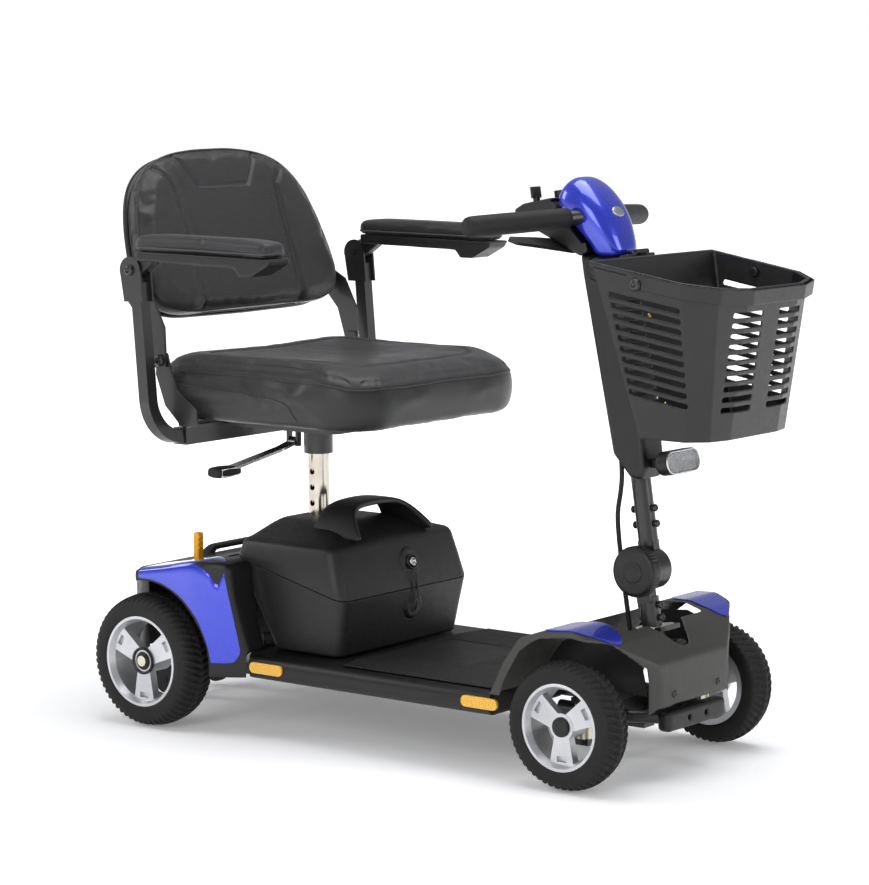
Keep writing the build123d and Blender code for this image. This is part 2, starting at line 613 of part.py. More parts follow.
def basket():
    """Slotted plastic basket, its hanger on the tiller rail, and the carrying bail."""
    form = basket_form(0, 480)
    shell = form - basket_form(-2.6, 483) - above_rim(0)
    lip = (basket_form(3, 480) - basket_form(-0.5, 480)) - above_rim(0)
    lip = lip & above_rim(7)
    shell += lip
    cutters = []
    for row in range(10):
        z = 676 - row * 14.2
        x0 = 774 + row * 2.2
        slot = Box(886 - x0, 400, 6.6)
        cutters.append(Pos((x0 + 886) / 2, 0, z - 0.171 * ((x0 + 886) / 2 - 772)) * Rot(0, rim_slope, 0) * slot)
        for side in (1, -1):
            cutters.append(Pos(920, side * 52, 650 - row * 14.2) * Box(76, 62, 6.6))
            cutters.append(Pos(782, side * 85, 660 - row * 14.2) * Box(76, 60, 6.6))
    shell -= cutters
    hanger = block(46.4, 52, -34, 34, 384, 438) + block(37.5, 52, -34, 34, 432.4, 438)
    hanger += block(47, 57, -14, 14, 437, 444)
    hanger = tiller * hanger
    gussets = pair(side_prism([(735, 664), (775, 664), (760, 708), (729, 708)], 26, 31))
    body = shell + hanger
    for gusset in gussets:
        body += gusset - basket_form(-2.6, 483)
    pivot = (826, 691)
    body -= rod((pivot[0], -170, pivot[1]), (pivot[0], 170, pivot[1]), 4.3)
    body = max(body.solids(), key=lambda s: s.volume)
    save("basket", body)

    strap = (basket_form(9.2, 480) - basket_form(7.2, 480)) & above_rim(22)
    strap -= above_rim(1)
    strap = strap & block(812, 1000, -200, 200, 500, 800)
    bolts = []
    for side in (1, -1):
        bolts.append(rod((pivot[0], side * 138, pivot[1]), (pivot[0], side * 157, pivot[1]), 4))
        bolts.append(rod((pivot[0], side * 138, pivot[1]), (pivot[0], side * 140.6, pivot[1]), 7))
        bolts.append(rod((pivot[0], side * 153.5, pivot[1]), (pivot[0], side * 159, pivot[1]), 9))
    for bolt in bolts:
        strap += bolt
    save("bail_handle", strap)


# ---------------------------------------------------------------- seat

back_plane = Location(Plane(origin=(-15, 0, 605), x_dir=(0, 1, 0), z_dir=(0.9578, 0, 0.2874)))


def seat_post():
    """Plated seat post with a row of height holes and a swivel spigot."""
    post = rod((post_x, 0, 110), (post_x, 0, 447), post_radius)
    post -= rod((post_x, 0, 100), (post_x, 0, 430), 12.5)
    for z in range(300, 396, 24):
        post -= rod((post_x, -30, z), (post_x, 30, z), 4.5)
    save("seat_post", post)


def seat_frame():
    """Seat plate, swivel hub, square receiver for the arms, hinge straps and lever lugs."""
    plate = block(24, 300, -150, 150, 452, 458)
    plate = fillet(plate.edges().filter_by(Axis.Z), 20)
    plate -= [rod((220, side * 70, 440), (220, side * 70, 470), 24) for side in (1, -1)]
    hub = rod((post_x, 0, 400), (post_x, 0, 453), 22)
    receiver = block(29.5, 54.5, -196, 196, 424.5, 449.5)
    receiver -= block(32.4, 51.6, -201, 201, 427.4, 446.6)
    body = plate + hub + receiver
    for y in (-100, 60):
        body += block(34, 50, y, y + 40, 449, 453)
    strap_side = [(20, 562), (40, 562), (46, 540), (62, 508), (98, 482), (98, 460), (62, 460), (36, 484), (18, 530)]
    strap = side_prism(strap_side, 216.5, 220.5) + block(62, 98, 140, 220.5, 456, 460)
    strap += rod((30, 216.5, 551), (30, 226.5, 551), 5)
    for piece in pair(strap):
        body += piece
    for x in (93, 110.6):
        body += block(x, x + 4.4, -13.4, -4.6, 408, 453)
    body += rod((95, -9, 415), (113, -9, 415), 3)
    body += rod((193, 0, 442), (193, 0, 453), 8)
    body -= rod((post_x, 0, 380), (post_x, 0, 448), post_radius + fit_gap)
    for y in (-186, 186):
        body -= rod((42, y, 446), (42, y, 460), 3 + fit_gap)
    save("seat_frame", body)
    lever = rod((97.8, -9, 415), (110.2, -9, 415), 7)
    lever += bent_bar([(104, -15.4, 413), (101, -38, 406), (66, -122, 380)], 10, Rectangle(18, 4), (1, 0, 0))
    lever += block(52, 80, -146, -106, 372, 384)
    lever -= rod((90, -9, 415), (120, -9, 415), 3 + fit_gap)
    save("swivel_lever", max(lever.solids(), key=lambda s: s.volume))


def seat_cushion():
    """Upholstered seat cushion: a plain rounded block."""
    cushion = Pos(198, 0, 462) * extrude(RectangleRounded(404, 430, 46), amount=89)
    cushion = fillet(cushion.edges().group_by(Axis.Z)[-1], 20)
    cushion = fillet(cushion.edges().group_by(Axis.Z)[0], 12)
    for piece in pair(block(14, 104, 213.5, 222, 440, 563)):
        cushion -= piece
    cushion -= block(0, 304, -152, 152, 440, 462)
    save("seat_cushion", cushion)


def backrest():
    """Padded backrest on a back board, carried by two hinged side straps."""
    half = [(0, -2), (150, 2), (186, 16), (200, 44), (214, 130), (214, 180), (196, 226), (150, 252), (80, 260), (0, 262)]
    face = make_face(Polyline(*[(y, h, 0) for y, h in half] + [(-y, h, 0) for y, h in reversed(half) if y > 0],
                              close=True))
    pad = extrude(face, amount=52)
    pad = fillet(pad.edges().group_by(Axis.Z)[-1], 12)
    board = back_plane * (Pos(0, 110, 5) * Box(300, 150, 6))
    board_room = back_plane * (Pos(0, 110, 4) * Box(300.6, 150.6, 8.6))
    save("backrest", back_plane * pad - board_room)
    leg_side = [(20, 540), (42, 542), (40, 600), (16, 646), (-24, 668), (-42, 664), (-32, 636), (2, 598)]
    leg = side_prism(leg_side, 221.2, 225.2) - rod((30, 200, 551), (30, 240, 551), 5 + fit_gap)
    arm = back_plane * (Pos(184, 50, -2.8) * Box(84, 26, 5))
    rise = back_plane * (Pos(132, 50, 1) * Box(28, 26, 10))
    frame = board
    for piece in (leg, arm, rise):
        for twin in pair(piece):
            frame += twin
    save("back_frame", max(frame.solids(), key=lambda s: s.volume))


def arms():
    """Sliding arm frames of square bar, flip-up arm trays with pads, and their T screws."""
    x, z = arm_hinge
    half_bar = arm_bar / 2
    frame = bent_bar([(23, arm_y, 668), (arm_rail_x, arm_y, arm_rail_z), (arm_rail_x, 197.5, arm_rail_z)], 60,
                     Rectangle(arm_bar, arm_bar), (0, 1, 0))
    frame += block(arm_rail_x - half_bar, arm_rail_x + half_bar, 60, 198, arm_rail_z - half_bar,
                   arm_rail_z + half_bar)
    for y in (arm_y - 12.6, arm_y + 9.5):
        frame += rod((x, y, z), (x, y + 3.1, z), 20)
        frame += side_prism([(x - 12, 640), (x + 24, 640), (x + 20, z), (x - 20, z)], y, y + 3.1)
    frame += rod((x, arm_y - 15, z), (x, arm_y + 15, z), 4)
    tray = side_prism([(37, 701), (226, 697), (236, 685), (258, 685), (290, 702), (296, 712), (37, 715.6)],
                      arm_y - 23, arm_y + 23)
    tray -= side_prism([(60, 694), (222, 690), (222, 706), (60, 708)], arm_y - 18, arm_y + 18)
    lug = side_prism([(x - 6, 674), (x + 8, 674), (62, 700), (62, 712), (37, 712), (x - 8, 696)],
                     arm_y - 9.1, arm_y + 9.1)
    lug += rod((x, arm_y - 9.1, z), (x, arm_y + 9.1, z), 14)
    tray = tray + lug - rod((x, 200, z), (x, 300, z), 4 + fit_gap)
    pad = side_prism([(26, 716.2), (297, 712.6), (297, 731), (288, 735), (34, 735), (26, 731)], arm_y - 25, arm_y + 25)
    pad = fillet(pad.edges().filter_by(Axis.Z), 10)
    pad -= tray
    screw = rod((42, 186, 447), (42, 186, 459), 3) + block(33, 51, 183, 189, 453, 459.6)
    for name, shape in (("arm_frame", frame), ("arm_tray", tray), ("arm_pad", pad), ("arm_screw", screw)):
        save(f"{name}_left", shape)
        save(f"{name}_right", flipped(shape))


def freewheel_lever():
    """Lever that frees the drive from the wheels so that the scooter can be pushed."""
    lever = rod((34, -156, 215), (34, -144.4, 215), 7) + block(29, 39, -156, -144.4, 216, 286)
    for z in (262, 270, 278):
        lever += block(27.6, 40.4, -155, -145.4, z, z + 3)
    save("freewheel_lever", lever - rod((34, -170, 215), (34, -130, 215), 3 + fit_gap))


# ---------------------------------------------------------------- build

rear_wheels()
front_wheels()
tie_rod()
main_frame()
anti_tip_wheels()
transaxle()
deck()
rear_cover()
body_inlays()
front_cover()
front_bumper()
battery_pack()
steering_column()
adjuster_knob()
tiller_tube()
tiller_cover()
head()
headlight()
control_cable()
basket()
seat_post()
seat_frame()
seat_cushion()
backrest()
arms()
freewheel_lever()
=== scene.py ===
import bpy
import bmesh
import json
import math
from mathutils import Matrix, Vector
from mathutils.bvhtree import BVHTree
from mathutils.noise import turbulence


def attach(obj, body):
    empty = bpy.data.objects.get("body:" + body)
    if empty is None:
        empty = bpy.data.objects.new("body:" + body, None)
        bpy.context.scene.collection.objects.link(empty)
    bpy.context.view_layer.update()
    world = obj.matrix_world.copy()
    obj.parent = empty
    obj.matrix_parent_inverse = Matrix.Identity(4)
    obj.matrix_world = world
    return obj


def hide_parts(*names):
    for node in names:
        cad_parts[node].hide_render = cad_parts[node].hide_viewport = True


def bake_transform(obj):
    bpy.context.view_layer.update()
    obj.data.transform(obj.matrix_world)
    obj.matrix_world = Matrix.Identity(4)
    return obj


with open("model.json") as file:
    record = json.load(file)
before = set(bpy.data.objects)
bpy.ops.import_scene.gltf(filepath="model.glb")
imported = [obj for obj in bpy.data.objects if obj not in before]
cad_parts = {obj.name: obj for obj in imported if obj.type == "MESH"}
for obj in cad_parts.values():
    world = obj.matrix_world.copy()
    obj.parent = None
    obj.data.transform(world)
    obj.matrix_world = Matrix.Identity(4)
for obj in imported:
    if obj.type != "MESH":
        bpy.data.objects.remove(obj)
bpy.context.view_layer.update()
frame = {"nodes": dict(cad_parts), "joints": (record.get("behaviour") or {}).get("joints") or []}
nodes = frame["nodes"]
joints = {joint["name"]: joint for joint in frame["joints"]}
mm = 0.001
sides = (("left", 1), ("right", -1))

# places that several pieces share, all read from the frame
rearAxle = Vector(joints["rear_wheel_left_spin"]["pos_m"])
tiltPivot = Vector(joints["tiller_tilt"]["pos_m"])
up = Vector(joints["steer"]["axis"]).normalized()
ahead = Vector((up.z, 0, -up.x))
baseX = rearAxle.x
print("frame loaded", len(nodes), "nodes")


def at(x, y, z):
    # millimetres measured from the rear axle line, turned into the frame's metres
    return Vector((baseX + x * mm, y * mm, z * mm))


def onTiller(d, y, s):
    # millimetres ahead of the tiller's line, to the left, and up along it
    return tiltPivot + ahead * (d * mm) + Vector((0, y * mm, 0)) + up * (s * mm)


# ---- shader toolkit

class Wire:
    # a socket that takes part in plain arithmetic; every operation adds a Math node
    def __init__(self, finish, socket):
        self.finish = finish
        self.socket = socket

    def combine(self, operation, first, second=0.0):
        return self.finish.node("ShaderNodeMath", {"operation": operation}, {0: first, 1: second})

    def __add__(self, other):
        return self.combine("ADD", self, other)

    def __radd__(self, other):
        return self.combine("ADD", other, self)

    def __sub__(self, other):
        return self.combine("SUBTRACT", self, other)

    def __rsub__(self, other):
        return self.combine("SUBTRACT", other, self)

    def __mul__(self, other):
        return self.combine("MULTIPLY", self, other)

    def __rmul__(self, other):
        return self.combine("MULTIPLY", other, self)

    def __pow__(self, other):
        return self.combine("POWER", self, other)

    def __lt__(self, other):
        return self.combine("LESS_THAN", self, other)

    def wave(self):
        return self.combine("SINE", self)


class Finish:
    # one material: constants sit on the shader's own sockets, patterns come in through nodes
    def __init__(self, name, constants):
        self.material = bpy.data.materials.new(name)
        self.material.use_nodes = True
        self.tree = self.material.node_tree
        self.shader = self.tree.nodes["Principled BSDF"]
        for label, value in constants.items():
            self.shader.inputs[label].default_value = value
        self.spot = self.node("ShaderNodeTexCoord", output="Object")

    def node(self, kind, settings=None, inputs=None, output=0):
        made = self.tree.nodes.new(kind)
        for key, value in (settings or {}).items():
            if key == "stops":
                for element, (position, colour) in zip(made.color_ramp.elements, value):
                    element.position = position
                    element.color = colour
            else:
                setattr(made, key, value)
        for key, value in (inputs or {}).items():
            self.feed(made.inputs[key], value)
        return Wire(self, made.outputs[output])

    def feed(self, socket, value):
        if isinstance(value, Wire):
            self.tree.links.new(value.socket, socket)
        else:
            socket.default_value = value

    def noise(self, scale, detail=2.0, roughness=0.5):
        inputs = {"Vector": self.spot, "Scale": scale, "Detail": detail, "Roughness": roughness}
        return self.node("ShaderNodeTexNoise", None, inputs)

    def cells(self, scale, feature="F1", output="Distance"):
        inputs = {"Vector": self.spot, "Scale": scale}
        return self.node("ShaderNodeTexVoronoi", {"feature": feature}, inputs, output)

    def along(self, axis):
        return self.node("ShaderNodeSeparateXYZ", None, {0: self.spot}, axis)

    def mix(self, factor, first, second):
        return self.node("ShaderNodeMix", {"data_type": "RGBA"}, {0: factor, 6: first, 7: second}, 2)

    def soften(self, value, low, high, toLow=0.0, toHigh=1.0):
        labels = ("Value", "From Min", "From Max", "To Min", "To Max")
        return self.node("ShaderNodeMapRange", None, dict(zip(labels, (value, low, high, toLow, toHigh))))

    def paint(self, label, value):
        self.feed(self.shader.inputs[label], value)

    def relief(self, height, depth, strength=1.0):
        inputs = {"Height": height, "Distance": depth, "Strength": strength}
        self.paint("Normal", self.node("ShaderNodeBump", None, inputs, "Normal"))


def shade(red, green, blue):
    # display values from 0 to 255, turned into the linear colour a shader wants
    def linear(value):
        value = value / 255
        return value / 12.92 if value <= 0.04045 else ((value + 0.055) / 1.055) ** 2.4
    return (linear(red), linear(green), linear(blue), 1.0)


finishes = {}


def plastic(name, dark, light, roughness, grain, depth):
    # moulded plastic: fine spark-eroded grain, faint handling marks, slightly paler where rubbed
    made = Finish(name, {"IOR": 1.48, "Specular IOR Level": 0.45})
    cloud = made.noise(9.0, 3.0)
    scuff = made.noise(120.0, 4.0, 0.65)
    made.paint("Base Color", made.mix(cloud * 0.7 + scuff * 0.3, shade(*dark), shade(*light)))
    made.paint("Roughness", made.soften(scuff, 0.3, 0.7, roughness - 0.06, roughness + 0.08))
    made.relief(made.cells(grain) * 0.6 + made.noise(grain * 0.8) * 0.4, depth)
    finishes[name] = made.material


def metal(name, dark, light, roughness, scale, depth, stretch=1.0, coat=0.0, metallic=1.0):
    # bare or painted metal: drawn or sprayed texture with a little colour drift
    made = Finish(name, {"Metallic": metallic, "Coat Weight": coat, "Coat Roughness": 0.12})
    drift = made.noise(14.0, 3.0)
    grain = (scale, scale, scale * stretch)
    long = made.node("ShaderNodeMapping", None, {"Vector": made.spot, "Scale": grain})
    streak = made.node("ShaderNodeTexNoise", None, {"Vector": long, "Scale": 1.0, "Detail": 3.0})
    made.paint("Base Color", made.mix(made.soften(drift, 0.35, 0.65), shade(*dark), shade(*light)))
    made.paint("Roughness", made.soften(streak, 0.3, 0.7, roughness * 0.8, roughness * 1.25))
    made.relief(streak, depth)
    finishes[name] = made.material


plastic("bodyBlack", (11, 11, 12), (19, 18, 18), 0.42, 900.0, 0.00012)
plastic("boxBlack", (21, 20, 20), (33, 31, 30), 0.46, 620.0, 0.0002)
plastic("fairingGrey", (46, 46, 43), (60, 59, 55), 0.46, 900.0, 0.00012)
plastic("basketBlack", (14, 14, 15), (24, 24, 25), 0.38, 1100.0, 0.00008)
plastic("cellGrey", (120, 120, 124), (140, 140, 144), 0.55, 700.0, 0.0001)
plastic("leverYellow", (226, 148, 0), (250, 184, 12), 0.42, 900.0, 0.00008)
metal("rimSilver", (186, 187, 190), (206, 207, 210), 0.34, 500.0, 0.00003, coat=0.35, metallic=0.75)
metal("frameBlack", (18, 18, 19), (28, 28, 29), 0.36, 700.0, 0.00008, coat=0.2, metallic=0.0)
metal("postPlated", (158, 150, 138), (196, 190, 180), 0.16, 300.0, 0.00002, stretch=0.05)
metal("zincPlated", (196, 190, 168), (222, 218, 204), 0.32, 400.0, 0.00003)
metal("brightSteel", (190, 190, 192), (214, 214, 216), 0.26, 500.0, 0.00003, stretch=0.2)
metal("castAlloy", (150, 150, 152), (176, 176, 178), 0.5, 260.0, 0.0002)
metal("goldRivet", (190, 150, 70), (214, 176, 96), 0.3, 400.0, 0.00002)


def blueGloss():
    # metallic lacquer: fine flake under a clear coat, with a slow drift from deep to bright blue
    made = Finish("blueGloss", {"Metallic": 0.45, "Coat Weight": 1.0, "Coat Roughness": 0.04, "IOR": 1.5})
    flake = made.cells(2600.0, output="Color")
    level = made.node("ShaderNodeSeparateColor", None, {0: flake}, 0)
    sweep = made.noise(6.0, 1.0)
    base = made.mix(sweep, shade(14, 24, 150), shade(30, 52, 205))
    made.paint("Base Color", made.mix(level * 0.25, base, shade(70, 96, 235)))
    made.paint("Roughness", made.soften(level, 0.0, 1.0, 0.22, 0.34))
    finishes["blueGloss"] = made.material


def vinyl(name, ridged):
    # upholstery vinyl: pebbled grain with fine creases; the ridged kind has a weave pressed into
    # its middle panel, where |y| is under halfPanel
    made = Finish(name, {"IOR": 1.5, "Sheen Weight": 0.12, "Sheen Roughness": 0.4})
    pebble = made.cells(780.0, "DISTANCE_TO_EDGE")
    crease = made.noise(60.0, 5.0, 0.6)
    tone = made.mix(crease, shade(8, 8, 9), shade(17, 17, 19))
    grain = made.soften(pebble, 0.0, 0.12)
    height = grain * 0.7 + crease * 0.5
    if ridged:
        halfPanel, pitch = 0.113, 900.0
        across, upward = made.along(1) * pitch, made.along(2) * pitch
        weave = (across + upward).wave() * (across - upward).wave()
        middle = across.combine("ABSOLUTE", made.along(1)) < halfPanel
        height = height + weave * middle * 0.6
    made.paint("Base Color", tone)
    made.paint("Roughness", made.soften(crease, 0.3, 0.7, 0.3, 0.42))
    made.relief(height, 0.00016)
    finishes[name] = made.material


def rubber(name, dark, light, roughness, scale, depth):
    # matte rubber or foam: soft mottling, open pores and a trace of dust
    made = Finish(name, {"IOR": 1.45, "Specular IOR Level": 0.3})
    dust = made.noise(40.0, 5.0, 0.7)
    pore = made.cells(scale)
    made.paint("Base Color", made.mix(dust * dust, shade(*dark), shade(*light)))
    made.paint("Roughness", made.soften(dust, 0.3, 0.7, roughness - 0.08, roughness + 0.06))
    made.relief(pore, depth)
    finishes[name] = made.material


def reflectorAmber():
    # moulded prisms in rows under a smooth face, with the amber painted lighter on each prism's crest as a
    # painted glint
    made = Finish("reflectorAmber", {"Coat Weight": 0.8, "Coat Roughness": 0.05, "Roughness": 0.25,
                                     "IOR": 1.5})
    pitch = 1500.0
    prismAndGlint = (made.along(0) * pitch).wave() * (made.along(2) * pitch).wave() * 0.5 + 0.5
    # painted glints: the amber is lighter where the prism pattern is high
    made.paint("Base Color", made.mix(prismAndGlint, shade(206, 140, 8), shade(250, 196, 40)))
    made.relief(prismAndGlint, 0.0004)
    finishes["reflectorAmber"] = made.material


def lensClear():
    # clear moulded lens with shallow vertical flutes, painted a little lighter on each flute's crest as a
    # painted highlight
    made = Finish("lensClear", {"Roughness": 0.05, "IOR": 1.45, "Transmission Weight": 0.9,
                                "Coat Weight": 0.6, "Coat Roughness": 0.03})
    fluteAndHighlight = (made.along(1) * 1600.0).wave()
    # painted highlight: the lens colour is lighter where each flute is high
    made.paint("Base Color", made.mix(fluteAndHighlight * 0.2 + 0.5, shade(225, 230, 236), shade(250, 252, 255)))
    made.relief(fluteAndHighlight, 0.00025)
    finishes["lensClear"] = made.material


def lampSilver():
    # metallised bowl behind the lens
    made = Finish("lampSilver", {"Metallic": 1.0})
    ripple = made.noise(220.0, 2.0)
    made.paint("Base Color", made.mix(ripple, shade(205, 208, 212), shade(240, 242, 245)))
    made.paint("Roughness", made.soften(ripple, 0.3, 0.7, 0.1, 0.25))
    finishes["lampSilver"] = made.material


def floorPale():
    # a pale floor with a painted glow: it glows faintly near the scooter and fully white from a couple of
    # metres out, so it fades into the white surroundings
    made = Finish("floorPale", {"Specular IOR Level": 0.0, "Emission Strength": 1.0})
    haze = made.noise(3.0, 2.0)
    reach = (made.along(0) ** 2 + made.along(1) ** 2) ** 0.5
    # painted glow: the emission rises from faint within 0.75 m of the middle to full white beyond 1.9 m
    glow = made.soften(reach, 0.75, 1.9, 0.18, 1.0)
    made.paint("Emission Color", made.mix(glow, (0.0, 0.0, 0.0, 1.0), (1.0, 1.0, 1.0, 1.0)))
    made.paint("Base Color", made.mix(haze, shade(243, 243, 244), shade(247, 247, 248)))
    made.paint("Roughness", made.soften(haze, 0.3, 0.7, 0.75, 0.85))
    finishes["floorPale"] = made.material


blueGloss()
vinyl("vinylPlain", False)
vinyl("vinylRidged", True)
rubber("tyreRubber", (18, 18, 18), (44, 42, 40), 0.6, 700.0, 0.00015)
rubber("matRubber", (28, 28, 29), (44, 43, 42), 0.58, 900.0, 0.0001)
rubber("foamBlack", (22, 22, 23), (40, 39, 39), 0.6, 1300.0, 0.0002)
rubber("threadGrey", (58, 59, 63), (84, 85, 90), 0.75, 2400.0, 0.00005)
reflectorAmber()
lensClear()
lampSilver()
floorPale()
print("finishes made", len(finishes))


# ---- mesh toolkit

def dress(piece, finish):
    piece.data.materials.clear()
    piece.data.materials.append(finishes[finish])


def settle(piece, body, finish, stands=()):
    # a finished piece takes its finish, its body and the CAD nodes it stands for
    dress(piece, finish)
    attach(piece, body)
    if stands:
        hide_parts(*stands)
    return piece


def show(name, mesh, smooth=True):
    for polygon in mesh.polygons:
        polygon.use_smooth = smooth
    piece = bpy.data.objects.new(name, mesh)
    bpy.context.scene.collection.objects.link(piece)
    return piece


def meshOf(piece):
    # the piece's mesh with its modifiers, or its curve's tube, worked out
    return bpy.data.meshes.new_from_object(piece.evaluated_get(bpy.context.evaluated_depsgraph_get()))


def turned(count, place):
    # a closed loop of points: place takes the cosine and sine of each step round
    angles = [2 * math.pi * step / count for step in range(count)]
    return [place(math.cos(angle), math.sin(angle)) for angle in angles]


def squared(value, power):
    # pushes a cosine or sine outward, so that a circle becomes a rounded square
    return math.copysign(abs(value) ** power, value)


def solid(name, points, faces, smooth=True):
    mesh = bpy.data.meshes.new(name)
    mesh.from_pydata([tuple(point) for point in points], [], faces)
    mesh.validate()
    made = bmesh.new()
    made.from_mesh(mesh)
    bmesh.ops.recalc_face_normals(made, faces=made.faces)
    made.to_mesh(mesh)
    made.free()
    return show(name, mesh, smooth)


def bake(piece):
    # modifiers become plain mesh
    done = meshOf(piece)
    piece.modifiers.clear()
    old = piece.data
    piece.data = done
    bpy.data.meshes.remove(old)
    for polygon in piece.data.polygons:
        polygon.use_smooth = True


def modify(piece, kind, **settings):
    modifier = piece.modifiers.new(kind.lower(), kind)
    for key, value in settings.items():
        setattr(modifier, key, value)
    return modifier


def rings(name, loops, closedEnds=True, wrap=False):
    # skins a list of equal loops of points
    count = len(loops[0])
    points = [point for loop in loops for point in loop]
    faces = []
    spans = len(loops) if wrap else len(loops) - 1
    for row in range(spans):
        below, above = row * count, ((row + 1) % len(loops)) * count
        for step in range(count):
            after = (step + 1) % count
            faces.append((below + step, below + after, above + after, above + step))
    if closedEnds and not wrap:
        faces.append(tuple(range(count)))
        faces.append(tuple(range(len(points) - count, len(points))))
    return solid(name, points, faces)


def sheet(name, points, wide):
    # skins a grid of points given row by row
    corners = [row * wide + step for row in range(len(points) // wide - 1) for step in range(wide - 1)]
    return solid(name, points, [(corner, corner + 1, corner + wide + 1, corner + wide) for corner in corners])


def skinOf(piece):
    return BVHTree.FromObject(piece, bpy.context.evaluated_depsgraph_get())


def hug(points, tree, lift):
    # points laid on a piece's skin, raised by lift
    laid = []
    for point in points:
        place, normal = tree.find_nearest(point)[:2]
        laid.append(place + normal * (lift * mm))
    return laid


def lathe(name, centre, axis, profile, segments=48):
    # profile is (distance along the axis, radius) in millimetres; both ends may be closed with radius 0
    axis = axis.normalized()
    side = axis.orthogonal().normalized()
    other = axis.cross(side)
    least = 0.02
    return rings(name, [turned(segments, lambda cosine, sine: centre + axis * (reach * mm)
                               + (side * cosine + other * sine) * (max(radius, least) * mm))
                        for reach, radius in profile])


def join(name, pieces):
    # several meshes become one piece
    whole = bmesh.new()
    for piece in pieces:
        whole.from_mesh(piece.data)
    mesh = bpy.data.meshes.new(name)
    whole.to_mesh(mesh)
    whole.free()
    for piece in pieces:
        data = piece.data
        bpy.data.objects.remove(piece)
        bpy.data.meshes.remove(data)
    return show(name, mesh)


def hose(name, points, radius, closed=False, sides=12, kind="POLY"):
    # a round tube through points, as a mesh; the NURBS kind runs smoothly between them
    curve = bpy.data.curves.new(name, "CURVE")
    curve.dimensions = "3D"
    curve.bevel_depth = radius * mm
    curve.bevel_resolution = sides // 4
    curve.use_fill_caps = True
    line = curve.splines.new(kind)
    line.points.add(len(points) - 1)
    for place, point in zip(line.points, points):
        place.co = (*point, 1)
    line.use_cyclic_u = closed
    if kind == "NURBS":
        line.order_u = 3
        line.use_endpoint_u = True
        line.resolution_u = 12
    holder = bpy.data.objects.new(name + "Path", curve)
    bpy.context.scene.collection.objects.link(holder)
    mesh = meshOf(holder)
    bpy.data.objects.remove(holder)
    bpy.data.curves.remove(curve)
    mesh.name = name
    return show(name, mesh)


def moulded(name, node, body, finish, voxel, rounds):
    # the CAD shell with its hard corners eased the way a moulding's are
    piece = show(name, nodes[node].data.copy())
    modify(piece, "REMESH", mode="VOXEL", voxel_size=voxel * mm, use_smooth_shade=True)
    modify(piece, "SMOOTH", factor=0.5, iterations=rounds)
    bake(piece)
    return settle(piece, body, finish, (node,))


def buttonHead(name, centre, axis, radius, height):
    # domed screw head with a hexagon socket
    profile = [(-1.0, radius), (0.0, radius), (height * 0.45, radius * 0.96), (height * 0.8, radius * 0.78),
               (height, radius * 0.5), (height * 0.98, radius * 0.46), (height * 0.35, radius * 0.44),
               (height * 0.3, 0.0)]
    return lathe(name, centre, axis, profile, 36)


# ---- camera, light and floor

view = {"azimuth": 37.78, "elevation": 7.17, "roll": -0.26, "lens": 122.28, "place": (3050, -3461, 982)}


def studio():
    azimuth, elevation, roll = (math.radians(view[key]) for key in ("azimuth", "elevation", "roll"))
    back = Vector((math.sin(azimuth) * math.cos(elevation), -math.cos(azimuth) * math.cos(elevation),
                   math.sin(elevation)))
    right = Vector((math.cos(azimuth), math.sin(azimuth), 0))
    top = back.cross(right)
    cosine, sine = math.cos(roll), math.sin(roll)
    right, top = right * cosine + top * sine, top * cosine - right * sine
    camera = bpy.data.cameras.new("camera")
    camera.lens = view["lens"]
    camera.sensor_width = 36
    camera.clip_end = 60
    holder = bpy.data.objects.new("camera", camera)
    bpy.context.scene.collection.objects.link(holder)
    turn = Matrix((right, top, back)).transposed().to_4x4()
    holder.matrix_world = Matrix.Translation(at(*view["place"])) @ turn
    bpy.context.scene.camera = holder

    world = bpy.data.worlds.new("studio")
    bpy.context.scene.world = world
    world.use_nodes = True
    tree = world.node_tree
    where, split, fade, blend = (tree.nodes.new("ShaderNode" + kind)
                                 for kind in ("TexCoord", "SeparateXYZ", "MapRange", "Mix"))
    blend.data_type = "RGBA"
    fade.inputs["From Min"].default_value = 0.03
    fade.inputs["From Max"].default_value = 0.16
    tree.links.new(where.outputs["Generated"], split.inputs[0])
    tree.links.new(split.outputs[2], fade.inputs["Value"])
    tree.links.new(fade.outputs[0], blend.inputs[0])
    blend.inputs[6].default_value = (1.0, 1.0, 1.0, 1.0)
    blend.inputs[7].default_value = (0.34, 0.345, 0.36, 1.0)
    tree.links.new(blend.outputs[2], tree.nodes["Background"].inputs["Color"])
    lamps = {"overhead": ((0.2, 0.3, 2.9), (0.0, 0.0, 0.3), 2.2, 62.0),
             "nearSide": ((0.6, -3.4, 1.7), (0.0, 0.0, 0.45), 1.7, 42.0),
             "front": ((3.4, 0.6, 1.3), (0.1, 0.0, 0.4), 1.4, 26.0),
             "rear": ((-2.8, -1.4, 2.0), (0.0, 0.0, 0.4), 1.2, 26.0)}
    for name, (place, target, size, power) in lamps.items():
        light = bpy.data.lights.new(name, "AREA")
        light.size = size
        light.energy = power
        lamp = bpy.data.objects.new(name, light)
        bpy.context.scene.collection.objects.link(lamp)
        lamp.location = place
        lamp.rotation_euler = (Vector(target) - Vector(place)).to_track_quat("-Z", "Y").to_euler()

    reach = 14.0
    floor = solid("floor", [(-reach, -reach, 0), (reach, -reach, 0), (reach, reach, 0), (-reach, reach, 0)],
                  [(0, 1, 2, 3)], False)
    floor.location.z = -0.0005
    dress(floor, "floorPale")
    bpy.context.scene.view_settings.view_transform = "Standard"


studio()
print("studio set")


# ---- finishes on the CAD pieces that stay

